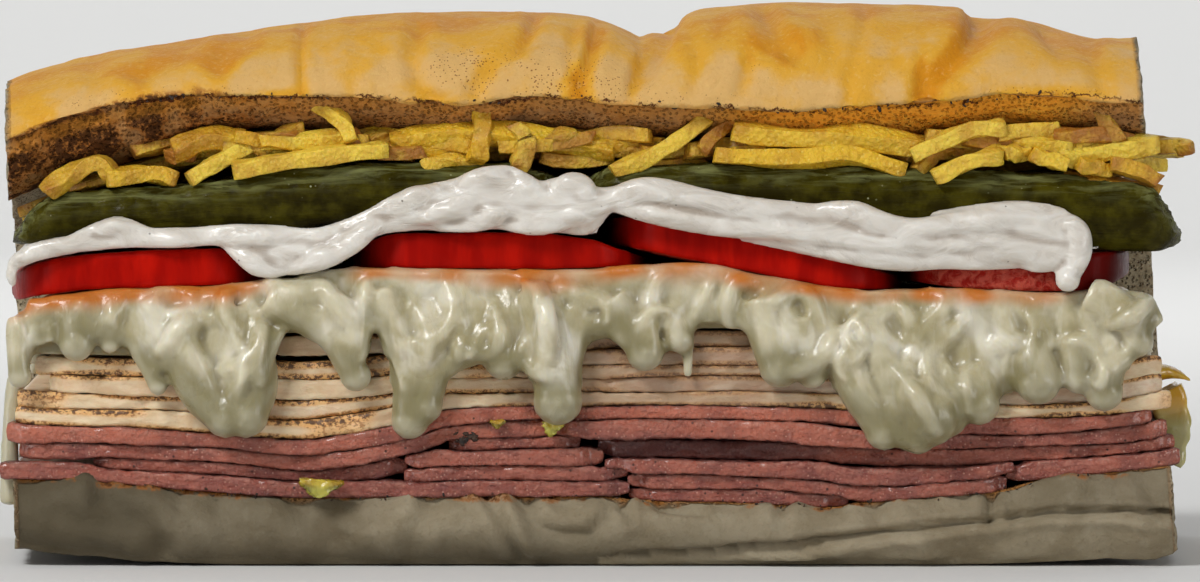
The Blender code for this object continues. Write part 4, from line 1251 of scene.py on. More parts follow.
# %% Cheese at the cut ends and its core
def end_strands(dice, x_end, side, low, high, count, depth_range):
    """Short shreds that hang at one cut end."""
    made = []
    for _ in range(count):
        y = dice.uniform(*depth_range)
        z = dice.uniform(settle(low, 29.8, y), settle(high, 34.8, y))
        radius = dice.uniform(0.9, 1.5)
        drop = dice.uniform(1, 5)
        x = x_end + side * dice.uniform(-0.6, 0.5)
        made.append([(x - side * 2.5, y + dice.uniform(-3, 3), z, radius), (x, y, z - 0.3 * drop, radius),
                     (x + side * 0.4, y + dice.uniform(-1, 1), z - drop, radius * 0.9)])
    return made


def cheese_slab(front, columns, rows):
    """The cheese between turkey and tomato, from a given depth to the hinge."""
    def place(u, v, w):
        x = CHEESE_LEFT + CHEESE_LENGTH * u
        y = front + (FILLING_BACK - 0.5 - front) * v
        low, high = settle(cheese_under(x), CHEESE_BACK[0], y), settle(cheese_top(x), CHEESE_BACK[1], y)
        return x, y, low + 0.3 + (high - low - 0.4) * w + 0.25 * wave(x, y, 40 * w, 5, 3)

    return shape(gridded_box(columns, rows, 6), place)


def join_into(target, part):
    """Adds one bmesh's shape to another."""
    mesh = bpy.data.meshes.new("part")
    part.to_mesh(mesh)
    part.free()
    target.from_mesh(mesh)
    bpy.data.meshes.remove(mesh)

# %% [markdown]
# A wall and a sheet behind the strands close the curtain. Everything is joined and remeshed by voxels,
# which fuses it, and the smoothing after that melts the joints.

# %% Fusing the cheese
# Voxel size in millimetres and rounds of smoothing
FINE_MELT = (0.42, 8)
COARSE_MELT = (0.75, 4)


def cheese_front(dice):
    """The curtain of cheese on the open side: strands, balls at the drips' ends, a wall and a sheet."""
    bm = strands_bmesh(cheese_strands(dice), 4)
    for run, _, last in DRIPS:
        column, row = run[-1]
        bmesh.ops.create_icosphere(bm, subdivisions=2, radius=last * 1.14, matrix=Matrix.Translation(
            (along(column), CHEESE_DEPTH + 0.3 - 0.5 * last, up(row))))

    def wall(u, v, w):
        x = CHEESE_LEFT + CHEESE_LENGTH * u
        low, high = cheese_under(x), cheese_top(x)
        return x, -37.2 + 5 * v, low + 0.3 + (high - low - 0.1) * w

    def sheet(u, v, w):
        x = -74.2 + 145.6 * u
        low, high = min(drip_line(x) + 1.2, cheese_top(x) - 1.5), cheese_top(x) + 0.3
        return x, CHEESE_SHEET + 2.6 * v, low + (high - low) * w

    join_into(bm, shape(gridded_box(120, 4, 6), wall))
    join_into(bm, shape(gridded_box(290, 4, 12), sheet))
    return melted(bm, *FINE_MELT)


# The long drip that runs down the left-hand end, as x, y, z and radius
END_DRIP = [
    (-74.6, -28, 29, 1.5), (-76.3, -30, 24, 1.3), (-76.8, -31, 18, 1.2), (-76.8, -31, 12, 1.3),
    (-76.7, -31, 7.6, 1.6),
]
END_SHREDS = 48
END_DEPTHS = (-34, 28)


def cheese_rear(dice):
    """The rest of the layer, with shreds at both cut ends and the long drip."""
    left = end_strands(dice, -73.8, -1, 27.6, 33.5, END_SHREDS, END_DEPTHS)
    right = end_strands(dice, 71.0, 1, 29.5, 34.5, END_SHREDS, END_DEPTHS)
    bm = strands_bmesh([*left, *right, END_DRIP], 4)
    join_into(bm, cheese_slab(-33.0, 110, 50))
    return melted(bm, *COARSE_MELT)

# %% [markdown]
# Juice and spice have stained the cheese orange under the tomato. It is darker in patches, painted shade
# darkens the lower ends of the drips and the valleys between strands, and a painted highlight lightens the
# ridges.

# %% Stains and hollows of the cheese
# The stretches of X under a tomato slice, where its juice and the spice have stained the cheese
TOMATO_SPANS = [(-78, -43), (-32, 7), (2, 40), (40, 61)]


def cheese_paint(vert, hollow):
    """How stained the cheese is at a point; how dark it is, in patches and with painted shade near the drips'
    lower ends; and how deep it lies in a valley, for painted shade.
    """
    x, y, z = vert.co
    under = max(rise(x, a - 2, a + 3) * rise(-x, -b - 2, -b + 3) for a, b in TOMATO_SPANS)
    oil = under * rise(z - cheese_top(x), -2.3 - 1.9 * wave(x, 0, 0, 6, 2), -0.2)
    drop = rise(drip_line(x) - z, -7, 0.5)
    return {"oil": oil * (0.75 + 0.6 * wave(x, y, z, 4, 8)),
            # This key darkens the cheese in patches, and adds painted shade towards the lower ends of the
            # drips.
            "thick": min(1.0, 0.25 + 0.5 * wave(x, y, z, 7, 4) + 0.75 * drop),
            "hollow": hollow}


CHEESE_HOLLOW = 0.30
cheese_pieces = []
for name, made in (("cheese_melt", cheese_front(random.Random(11))),
                   ("cheese_layer", cheese_rear(random.Random(12)))):
    depths = hollows(made, CHEESE_HOLLOW)
    spread(made, [cheese_paint(vert, hollow) for vert, hollow in zip(made.verts, depths)])
    cheese_pieces.append((name, made))

# %% Cheese finish
cheese = new_finish("melted_cheese", Subsurface_Weight=0.5, Subsurface_Radius=(0.004, 0.003, 0.0016),
                    Subsurface_Scale=0.55, Coat_Weight=0.3, Coat_Roughness=0.16, Specular_IOR_Level=0.42)
where = place_of(cheese)
cloud = grain(cheese, where, 180, 4, 0.5, 0.3)
runs = grain(cheese, place_of(cheese, (1, 1, 0.3)), 650, 4, 0.55, 0.4)
lumps = grain(cheese, where, 150, 3, 0.5, 0.6)
sunk = attribute(cheese, "hollow")
# Painted shade darkens the cheese in the valleys between strands, and a painted highlight lightens the
# ridges.
milk = layered(
    cheese, (0.43, 0.375, 0.215),
    (cloud, 0.35, 0.65, (0.62, 0.565, 0.395)), (lumps, 0.50, 0.70, 0.0, 0.8, (0.80, 0.76, 0.63)),
    (lumps, 0.32, 0.46, 0.6, 0.0, (0.31, 0.27, 0.13)), (runs, 0.5, 0.75, 0.0, 0.3, (0.70, 0.66, 0.52)),
    (attribute(cheese, "thick"), 0.35, 1.0, 0.0, 0.9, (0.235, 0.205, 0.095)),
    (sunk, 0.05, 0.8, 0.0, 0.5, (0.235, 0.185, 0.085)), (sunk, -0.9, -0.1, 0.5, 0.0, (0.78, 0.74, 0.58)))
milk = mixed(cheese, math_node(cheese, "MULTIPLY", attribute(cheese, "oil"), 1.15), milk,
             (0.55, 0.185, 0.030))
wire(cheese, "Base Color", milk)
wire(cheese, "Roughness", span(cheese, cloud, 0.3, 0.7, 0.27, 0.44))
wire(cheese, "Normal", bumped(cheese, runs, 0.00022, bumped(cheese, cloud, 0.0003)))
tell(cheese)
for name, made in cheese_pieces:
    finish_piece(name, made, "cheese", cheese, *(["melted_cheese"] if name == "cheese_melt" else []))

# %% [markdown]
# ## Tomato slices
# A tomato slice shows its skin from the side: a smooth, taut, glossy band with rounded edges, and a narrow
# ring of flesh above and below. Each is a gridded box whose outline is bent round in plan. Its height follows
# the node it stands for.

# %% Building a tomato slice
TOMATO_FRONT = -38.0
TOMATO_HALF_DEPTH = (FILLING_BACK - TOMATO_FRONT) / 2
# Each slice's underside and top, along the open side and then in the hinge
TOMATO_SLICES = [
    ([(-77, 34.2), (-71, 35.5), (-64.6, 36.1), (-51.6, 36.5), (-43.5, 37.3)], [(-77, 36.7), (-74.5, 38.7),
     (-71, 39.9), (-64.6, 40.8), (-49.7, 41.4), (-43.9, 39.6), (-43.5, 38.6)], [(-77, 35.7),
     (-43.5, 35.7)], [(-77, 40.2), (-47, 40.2), (-43.5, 38.8)]),
    ([(-32, 39.1), (-19, 38.7), (-5, 38.7), (7.2, 39.4)], [(-32, 41.2), (-28.9, 42.6), (-25.6, 43.3),
     (-10, 43.5), (-1, 42.6), (3, 41.3), (7.2, 40.2)], [(-32, 35.7), (7.2, 35.7)], [(-32, 40.2),
     (-6, 40.2), (0, 37.4), (7.2, 37.2)]),
    ([(1.3, 42.6), (7, 41), (13.4, 39.6), (26.4, 37.1), (33, 36.1), (40, 36)], [(1.3, 46), (13.4, 44.3),
     (20, 43.3), (26.4, 42), (33, 40), (37.5, 37.9), (40, 36.9)], [(1.3, 37.8), (8, 37.8), (13.4, 35.7),
     (40, 35.7)], [(1.3, 40.2), (40, 40.2)]),
    ([(40.5, 37.2), (46, 36.4), (59, 35.8), (65, 36.2), (70, 38.2)], [(40.5, 38.5), (47, 39.2), (59, 40),
     (66, 40.9), (70, 41)], [(40.5, 35.7), (70, 35.7)], [(40.5, 40.2), (70, 40.2)]),
]


def tomato_slice(number, outlines, wet):
    """A slice of tomato; a wet one shows its cut, juicy flesh on the open side."""
    lower, upper, lower_back, upper_back = map(line, outlines)
    start, end = outlines[0][0][0], outlines[0][-1][0]
    middle, half_width = (start + end) / 2, (end - start) / 2
    columns = round((end - start) / 0.45)

    def place(u, v, w):
        x = middle - half_width * math.cos(math.pi * (0.08 + 0.84 * u)) / math.cos(math.pi * 0.08)
        reach = math.sqrt(max(0.02, 1 - (abs(x - middle) / half_width) ** 7))
        lean = 2 * w - 1
        bulge = 0.30 * (1 - abs(lean) ** 6)
        across = -math.cos(math.pi * (0.03 + 0.94 * v))
        y = TOMATO_FRONT + TOMATO_HALF_DEPTH + across * TOMATO_HALF_DEPTH * (0.35 + 0.65 * reach)
        if v < 1e-4 or v > 0.9999:
            y += across * bulge
        low_z, high_z = settle(lower(x), lower_back(x), y), settle(upper(x), upper_back(x), y)
        edge = min(y + 38.2, x - start + 0.3, end - x + 0.3)
        pinch = 0.04 * math.exp(-max(edge, 0) / 0.5)
        z = low_z + (high_z - low_z) * (pinch + (1 - 2 * pinch) * w)
        if u < 1e-4 or u > 0.9999:
            x += bulge * (1 if u > 0.5 else -1) * 0.8
        return x, y, z

    def relief(point, key):
        x, y, z = point
        if key.y < 1e-4 or key.y > 0.9999 or key.x < 1e-4 or key.x > 0.9999:
            return 0.05 * wave(x, y, z, 4, number)
        return 0.16 * wave(x, y, z, 4, number) + 0.10 * rough(x, y, z, 1.6, number)

    def paint(point, key):
        skin = key.y < 0.004 or key.y > 0.996 or key.x < 0.01 or key.x > 0.99
        x, _, z = point
        flesh = 0.0 if skin else 1.0
        if wet:
            flesh = max(flesh, rise(wave(x, 0, z, 5, 3), -0.6, 0.1) * rise(-x, -64, -60))
        # Painted shade: the skin darkens towards both tips of a slice and towards the right end of the wet
        # one, over darker patches at random.
        tip = rise(-(x - start), -5, 0) + rise(-(end - x), -5, 0) + (1.7 * rise(x, 58, 64) if wet else 0)
        return {"flesh": flesh, "shade": min(1.0, 0.2 + 0.2 * wave(x, 0, z, 12, number) + 0.4 * tip)}

    bm = shape(gridded_box(columns, 44, 12), place, relief, paint)
    finish_piece(f"tomato_{number}", bm, "tomato", tomato, f"tomato_slice_{number}")


# %% Tomato finish
tomato = new_finish("tomato", Subsurface_Weight=0.35, Subsurface_Radius=(0.004, 0.0006, 0.0003),
                    Subsurface_Scale=0.5, Specular_IOR_Level=0.05)
where = place_of(tomato)
streaks = grain(tomato, place_of(tomato, (1, 1, 0.25)), 420, 4, 0.55, 0.2)
wet_bits = grain(tomato, where, 900, 4, 0.6, 0.8)
skin = mixed(tomato, span(tomato, streaks, 0.35, 0.7), (0.38, 0.003, 0.001), (0.58, 0.008, 0.002))
# The skin darkens by the attribute shade: painted shade at the tips, with random darker patches.
skin = mixed(tomato, attribute(tomato, "shade"), skin, (0.070, 0.002, 0.001))
pulp = mixed(tomato, span(tomato, wet_bits, 0.36, 0.62), (0.30, 0.012, 0.007), (0.50, 0.085, 0.055))
wire(tomato, "Base Color", mixed(tomato, attribute(tomato, "flesh"), skin, pulp))
wire(tomato, "Roughness", span(tomato, wet_bits, 0.3, 0.7, 0.30, 0.46))
juice = math_node(tomato, "MULTIPLY", wet_bits, attribute(tomato, "flesh"))
wire(tomato, "Normal", bumped(tomato, juice, 0.0008, bumped(tomato, streaks, 0.00008)))
tell(tomato)

for number, outlines in enumerate(TOMATO_SLICES, 1):
    tomato_slice(number, outlines, wet=number == len(TOMATO_SLICES))

# %% [markdown]
# ## Pickle slices
# Two long slices of pickle lie end to end with their dark skin to the front. The skin is wet and gently
# ribbed along its length, and wrinkles where it bends over the edge. The cut side at the back is paler.

# %% Building a pickle slice
PICKLE_FRONT = -37.2
PICKLE_REAR = -3.0
pickle_bed = line([
    (-75.7, 41.7), (-69, 43.3), (-60, 43.6), (-45, 43.8), (-30, 46.1), (-5.5, 46.3), (-1.6, 48.3), (2, 48.6),
    (14, 46.9), (30, 45), (50, 43), (62, 42.3), (69, 41.5), (75.8, 41.4),
])
# The top of each slice along the open side
PICKLES = [
    [(-75.7, 43.5), (-73, 47.1), (-69.8, 48.4), (-55, 49.5), (-38.6, 51.6), (-27, 52.5), (-12.6, 52.3),
     (-5.5, 50.6)],
    [(-1.6, 50.4), (3, 52), (13.4, 52.3), (46, 51.4), (68, 50.3), (72, 49), (74.4, 46.6), (75.8, 44.2)],
]
PICKLE_BED_BACK = 43.4
PICKLE_CORNER = 5.5
PICKLE_BULGE = 1.9
BLISTERED = (920, 211, 42, 8)  # the wrinkled spot: column, row, half width and height in grid steps


def pickle_slice(number, upper_knots):
    """A long slice of pickle with rounded ends, its skin to the front."""
    upper = line(upper_knots)
    start, end = upper_knots[0][0], upper_knots[-1][0]
    columns = round((end - start) / 0.5)

    def place(u, v, w):
        x = start + (end - start) * u
        inside = min(x - start, end - x)
        setback = PICKLE_CORNER - math.sqrt(max(0.0, PICKLE_CORNER**2
                                                - max(0.0, PICKLE_CORNER - inside) ** 2))
        lean = 2 * w - 1
        front = PICKLE_FRONT + setback
        rear = PICKLE_REAR - setback
        bulge = PICKLE_BULGE * (1 - abs(lean) ** 2.2)
        y = front + PICKLE_BULGE + (rear - front - PICKLE_BULGE) * v**1.5 - (bulge if v < 1e-4 else 0)
        low_z = settle(pickle_bed(x), PICKLE_BED_BACK, y) + 0.1 - 0.9 * rise(-y, 30, 36)
        high_z = upper(x) - 0.15 * rise(y, front + 3, rear)
        z = low_z + (high_z - low_z) * w
        if u < 1e-4 or u > 0.9999:
            x += (1 if u > 0.5 else -1) * 0.5 * (1 - lean * lean)
        return x, y, z

    def relief(point, key):
        x, y, z = point
        ribs = 0.07 * math.sin(2.1 * z + 1.6 * wave(x, 0, z, 14, number))
        ribs += 0.16 * wave(0.16 * x, y, 2 * z, 1.6, number)
        wrinkles = 0.42 * rough(0.24 * x, y, 1.3 * z, 1.4, number + 4, 4) * rise(z, upper(x) - 4.2, upper(x)
                                                                                 - 0.8)
        wrinkles += blot(x, z, *BLISTERED) * 0.3 * wave(x, y, 2 * z, 1.1, 5)
        return ribs + wrinkles + 0.25 * wave(x, y, z, 9, number + 2)

    def paint(point, key):
        x, y, z = point
        return {"cut": rise(y, PICKLE_REAR - 3, PICKLE_REAR - 1),
                "top": rise(z, upper(x) - 3.5, upper(x) + 0.2)}

    bm = shape(gridded_box(columns, 40, 16), place, relief, paint)
    finish_piece(f"pickle_{number}", bm, "pickle", pickle, f"pickle_slice_{number}")


# %% Pickle finish
pickle = new_finish("pickle", Subsurface_Weight=0.12, Subsurface_Radius=(0.001, 0.0016, 0.0004),
                    Subsurface_Scale=0.6, Coat_Weight=0.03, Coat_Roughness=0.1, Specular_IOR_Level=0.05)
where = place_of(pickle)
lengthwise = grain(pickle, place_of(pickle, (0.12, 1, 1)), 900, 5, 0.6, 0.5)
mottle = grain(pickle, where, 300, 4, 0.6)
rind = mixed(pickle, span(pickle, mottle, 0.35, 0.7), (0.021, 0.016, 0.001), (0.066, 0.056, 0.004))
# Along the top, pale lengthwise ribs: partly the skin's own paler ribs, partly painted highlight.
pale_ribs = math_node(pickle, "MULTIPLY", attribute(pickle, "top"), span(pickle, lengthwise, 0.40, 0.68))
rind = mixed(pickle, pale_ribs, rind, (0.20, 0.21, 0.075))
# Painted glints: small pale specks on the wet skin.
pips = math_node(pickle, "MULTIPLY", span(pickle, cells(pickle, where, 700), 0.05, 0.12, 1.0, 0.0),
                 span(pickle, grain(pickle, where, 260, 2), 0.5, 0.62))
rind = mixed(pickle, math_node(pickle, "MULTIPLY", pips, 0.7), rind, (0.42, 0.42, 0.24))
wire(pickle, "Base Color", mixed(pickle, attribute(pickle, "cut"), rind, (0.34, 0.36, 0.10)))
wire(pickle, "Roughness", span(pickle, lengthwise, 0.3, 0.7, 0.18, 0.40))
wire(pickle, "Normal", bumped(pickle, lengthwise, 0.00035, bumped(pickle, mottle, 0.0002)))
tell(pickle)

for number, knots in enumerate(PICKLES, 1):
    pickle_slice(number, knots)

# %% [markdown]
# ## White sauce
# A thick mayonnaise-like sauce lies over the tomato and climbs over the pickle in soft peaks. Its front is
# made like the cheese: a fat rolling front edge, some ridges and a wall between them are fused by a voxel
# remesh and smoothed, and a plain core fills the rest.

# %% Outline and folds of the sauce
sauce_under = line([
    (-77.5, 37.2), (-74.5, 39.2), (-71, 40.4), (-64.6, 41.2), (-49.7, 41.8), (-44.3, 40.2), (-42.9, 38),
    (-33.2, 39.4), (-32.3, 41.6), (-28.9, 43), (-25.6, 43.7), (-10, 43.9), (-1, 43.1), (0.6, 43.6), (1, 46.4),
    (13.4, 44.8), (20, 43.8), (26.4, 42.5), (33, 40.6), (36, 39.1), (40, 39), (47, 39.7), (59, 40.5),
    (66, 41.4),
])
sauce_top = line([
    (-77.5, 39.5), (-73.7, 41.9), (-69.8, 42.6), (-65.5, 44.8), (-62, 46), (-58, 44.2), (-45, 44.8),
    (-37, 44.1), (-30, 46.5), (-25.6, 49), (-17, 51), (-11.3, 52.6), (-8, 50), (-3.5, 51.3), (-0.5, 49.4),
    (9.5, 50.3), (17, 48), (30, 46.9), (34, 47.7), (37, 45.9), (43, 44.9), (46, 46.2), (60, 46.9),
    (63.4, 45.6), (66, 42.1),
])
# Folds and peaks on the front of the sauce, as grid points, with radius and depth in millimetres
SAUCE_RIDGES = [
    ([(8, 266), (24, 255), (50, 248), (80, 243), (110, 240)], 1.3, -39.0),
    ([(94, 238), (106, 225), (124, 225), (142, 237)], 1.1, -39.3),
    ([(110, 243), (150, 240), (190, 240), (230, 240)], 1.1, -39.3),
    ([(200, 238), (245, 234), (275, 236), (302, 240)], 1.2, -39.4),
    ([(226, 246), (246, 258), (262, 270), (284, 273)], 1.4, -39.4),
    ([(284, 271), (310, 263), (337, 252), (365, 234), (388, 214)], 1.6, -39.6),
    ([(262, 250), (290, 252), (320, 246)], 1.2, -39.9),
    ([(392, 216), (402, 202), (424, 194), (448, 192)], 1.6, -39.9),
    ([(448, 188), (470, 180), (496, 174), (510, 168)], 1.4, -39.9),
    ([(510, 168), (520, 179), (534, 188), (552, 193)], 1.3, -39.8),
    ([(550, 192), (564, 182), (582, 183), (588, 194), (574, 203)], 1.5, -40.1),
    ([(408, 223), (440, 212), (470, 205), (494, 197)], 1.3, -40.4),
    ([(430, 227), (470, 225), (506, 215), (530, 205)], 1.3, -39.9),
    ([(494, 223), (520, 226), (556, 225), (590, 219)], 1.3, -40.1),
    ([(482, 200), (488, 212), (502, 215), (512, 207)], 0.9, -41.0),
    ([(540, 209), (566, 215), (592, 209), (607, 199)], 1.3, -40.3),
    ([(600, 199), (630, 191), (657, 189), (699, 201), (753, 211), (814, 208)], 1.8, -39.9),
    ([(814, 208), (850, 209), (875, 222), (906, 231), (937, 228), (967, 221), (1013, 219),
     (1056, 214)], 1.7, -40.0),
    ([(612, 207), (640, 211), (715, 226), (772, 229), (829, 236), (883, 243), (925, 246), (967, 241),
     (1005, 236), (1034, 240)], 1.5, -39.9),
    ([(740, 237), (814, 246), (868, 258), (906, 262), (944, 258), (983, 261), (1024, 264)], 1.4, -39.4),
    ([(930, 215), (980, 211), (1030, 208), (1058, 209)], 1.2, -39.4),
    ([(1056, 215), (1074, 225), (1080, 244), (1076, 262), (1072, 280)], 1.8, -39.6),
    ([(1030, 250), (1046, 251)], 1.8, -40.4), ([(1062, 262), (1069, 276), (1069, 283)], 1.6, -39.9),
    ([(12, 262), (10, 276), (14, 286)], 1.1, -38.9), ([(1020, 264), (1040, 267), (1062, 264)], 1.4, -39.6),
]
# How far forward the sauce between the folds reaches, along the roll
sauce_depth = line([
    (-76, -38.7), (-48, -38.9), (-44, -39.7), (-34, -40.0), (-28, -39.8), (-24, -40.5), (-14, -41.0),
    (-2, -41.0), (4, -40.7), (20, -40.6), (40, -40.5), (56, -40.9), (62, -40.6),
])

# %% Core and front of the sauce
SAUCE_BACK = (29.6, 40.7, 42.6)  # its depth in the hinge, and its underside and top there


def sauce_core(front, columns, rows):
    """The sauce between tomato and pickle, from a given depth to the hinge."""
    def place(u, v, w):
        x = -76.6 + 141.8 * u
        y = front + (SAUCE_BACK[0] - front) * v**1.7
        low = settle(sauce_under(x), SAUCE_BACK[1], y)
        high = settle(min(pickle_bed(x) - 0.4, sauce_top(x)) - 0.3, SAUCE_BACK[2], y)
        high = max(high, low + 0.5)
        return x, y, low + 0.15 + (high - low - 0.3) * w

    return shape(gridded_box(columns, rows, 8), place)


# The wall between the folds: its ends, its grid and the depth of its back
SAUCE_LEFT = -76.0
SAUCE_RIGHT = 62.6
SAUCE_COLUMNS = 280
SAUCE_WALL_BACK = -36.5
SAUCE_DRIP = (along(1067), -40.0, up(279))
SAUCE_DRIP_RADIUS = 1.7
SAUCE_HOLLOW = 0.28
SAUCE_MELT = (0.40, 6)


def sauce_outline(strands):
    """The lowest and highest z of the sauce along its length, softened."""
    raw = []
    for x in np.linspace(SAUCE_LEFT, SAUCE_RIGHT, SAUCE_COLUMNS + 1):
        low, high = sauce_under(x) + 0.8, max(sauce_top(x) - 0.9, sauce_under(x) + 1.0)
        for run in strands:
            for (xa, _, za, radius), (xb, _, zb, _) in zip(run, run[1:]):
                if min(xa, xb) <= x <= max(xa, xb) and xa != xb:
                    z = za + (zb - za) * (x - xa) / (xb - xa)
                    low, high = min(low, z - 0.4 * radius), max(high, z + 0.4 * radius)
        raw.append((low, high))
    return [np.mean(raw[max(0, i - 3):i + 4], axis=0) for i in range(len(raw))]


def sauce_front(dice):
    """The thick rolling edge of the sauce: its folds, a wall between them and the drip at its end, melted."""
    strands = []
    for run, radius, depth in SAUCE_RIDGES:
        tips = (0, len(run) - 1)
        strands.append([(along(column), depth + (0.9 if i in tips else 0), up(row),
                         radius * (0.4 if i in tips else 1)) for i, (column, row) in enumerate(run)])
    outline = sauce_outline(strands)
    for edge, lift in ((sauce_top, -0.95), (sauce_under, 0.85)):
        strands.append([(x, -38.8 + dice.uniform(-0.3, 0.3), edge(x) + lift, dice.uniform(0.8, 1.0))
                        for x in np.arange(-75.5, 61, 2.2)])
    bm = strands_bmesh(strands, 4)
    bmesh.ops.create_icosphere(bm, subdivisions=3, radius=SAUCE_DRIP_RADIUS,
                               matrix=Matrix.Translation(SAUCE_DRIP))

    def wall(u, v, w):
        low, high = outline[round(u * SAUCE_COLUMNS)]
        x = SAUCE_LEFT + (SAUCE_RIGHT - SAUCE_LEFT) * u
        fullness = math.sqrt(max(0.0, 1 - (2 * w - 1) ** 4))
        y = SAUCE_WALL_BACK + (sauce_depth(x) - SAUCE_WALL_BACK) * (1 - v) * (0.35 + 0.65 * fullness)
        return x, y, low + (high - low) * w

    join_into(bm, shape(gridded_box(SAUCE_COLUMNS, 6, 16), wall))
    made = melted(bm, *SAUCE_MELT)
    for vert in made.verts:
        x, _, z = vert.co
        vert.co.y -= 0.26 * wave(0.35 * x, 0, z + 0.15 * x, 1.3, 4) + 0.30 * wave(x, 0, 1.4 * z, 4.5, 8)
    return made


sauce_pieces = [("sauce_front", sauce_front(random.Random(5))), ("sauce_layer", sauce_core(-37.0, 150, 50))]
for _, made in sauce_pieces:
    spread(made, [{"hollow": hollow} for hollow in hollows(made, SAUCE_HOLLOW)])

# %% Sauce finish
sauce = new_finish("white_sauce", Subsurface_Weight=0.4, Subsurface_Radius=(0.003, 0.0025, 0.002),
                   Subsurface_Scale=0.6, Coat_Weight=0.35, Coat_Roughness=0.15)
where = place_of(sauce)
swirl = grain(sauce, place_of(sauce, (0.5, 1, 1)), 300, 4, 0.55, 1.2)
# Painted shade darkens the sauce in the hollows between its folds.
cream = layered(sauce, (0.66, 0.61, 0.54), (swirl, 0.3, 0.7, (0.80, 0.765, 0.70)),
                (attribute(sauce, "hollow"), 0.0, 0.6, 0.0, 0.7, (0.36, 0.28, 0.21)))
flecks = math_node(sauce, "MULTIPLY", span(sauce, cells(sauce, where, 560), 0.05, 0.11, 0.85, 0.0),
                   span(sauce, grain(sauce, where, 250, 2), 0.52, 0.60))
wire(sauce, "Base Color", mixed(sauce, flecks, cream, (0.10, 0.085, 0.07)))
wire(sauce, "Roughness", span(sauce, swirl, 0.3, 0.7, 0.24, 0.40))
wire(sauce, "Normal", bumped(sauce, swirl, 0.0005, bumped(sauce, grain(sauce, where, 900, 3), 0.0001)))
tell(sauce)
for (name, made), nodes in zip(sauce_pieces, (["white_sauce"], [])):
    finish_piece(name, made, "sauce", sauce, *nodes)

# %% [markdown]
# ## Potato sticks
# The sticks are fried strips about three millimetres square, bent and twisted by the heat, and they lie
# across one another in a loose heap. The ones that show most are laid one by one. A smaller core fills the
# heap behind them, so no light comes through, and the rest are strewn over it and at its ends.

# %% Sticks that show
# Grid points along each stick, its thickness in millimetres, its depth, and how brown it is
STICKS = [
    ([(45, 193), (70, 175), (97, 163), (112, 176)], 3.0, -35.6, 0.4),
    ([(106, 180), (140, 174), (175, 179)], 3.0, -35.9, 0.2),
    ([(172, 152), (205, 138), (242, 140)], 3.2, -34.5, 0.5),
    ([(188, 180), (222, 160), (256, 142)], 2.9, -35.4, 0.2),
    ([(232, 171), (300, 159), (388, 149)], 3.2, -36.6, 0.1),
    ([(352, 142), (338, 118), (313, 100)], 2.8, -35.9, 0.1),
    ([(252, 152), (280, 138), (302, 128)], 2.9, -33.6, 0.8),
    ([(168, 158), (180, 152), (192, 156)], 2.8, -34.0, 1.0),
    ([(390, 142), (450, 133), (520, 136), (614, 150)], 3.5, -34.4, 0.0),
    ([(476, 162), (483, 130), (478, 107)], 2.7, -36.2, 0.2),
    ([(518, 168), (526, 144), (514, 124)], 2.9, -36.0, 0.5),
    ([(612, 172), (660, 152), (706, 120)], 2.9, -36.4, 0.2),
    ([(606, 140), (630, 143), (652, 146)], 2.6, -33.4, 0.3),
    ([(700, 152), (722, 128), (742, 112)], 2.6, -35.0, 0.9),
    ([(733, 131), (800, 138), (860, 137), (922, 147)], 3.5, -35.6, 0.1),
    ([(715, 155), (800, 160), (850, 156), (906, 170)], 3.1, -36.8, 0.0),
    ([(912, 156), (960, 134), (1006, 127)], 3.1, -36.2, 0.2),
    ([(998, 136), (1030, 131), (1060, 130)], 2.9, -35.2, 0.2),
    ([(934, 178), (965, 164), (1002, 154)], 3.0, -37.2, 0.1), ([(1002, 153), (1030, 153)], 2.7, -36.8, 0.1),
    ([(1032, 154), (1068, 165)], 2.9, -36.6, 0.0), ([(1078, 163), (1112, 173)], 2.8, -36.0, 0.4),
    ([(1112, 164), (1140, 172), (1160, 182)], 3.0, -35.6, 0.6),
    ([(1062, 158), (1110, 150), (1160, 144)], 3.6, -34.8, 0.1),
    ([(1122, 142), (1108, 122), (1098, 106)], 3.0, -34.2, 0.8),
    ([(918, 172), (932, 156), (952, 148)], 2.8, -35.0, 0.6),
    ([(420, 168), (450, 160), (478, 164)], 2.6, -35.0, 0.3),
    ([(404, 160), (412, 142), (424, 126)], 2.6, -33.8, 0.9),
    ([(1066, 180), (1120, 186), (1162, 192)], 2.6, -34.0, 0.7),
    ([(640, 168), (690, 166), (720, 172)], 2.6, -33.4, 0.6),
    ([(300, 138), (345, 146), (390, 136)], 2.8, -32.8, 0.8),
    ([(130, 152), (160, 146), (190, 140)], 2.6, -32.6, 0.8),
    ([(540, 158), (580, 162), (612, 158)], 2.6, -33.6, 0.6),
    ([(860, 148), (900, 152), (930, 160)], 2.6, -34.0, 0.6),
]
STICK_COLUMNS = 20
STICK_SIDES = 6
STICK_SHARE = 0.80  # the part of that thickness that the sticks are built with


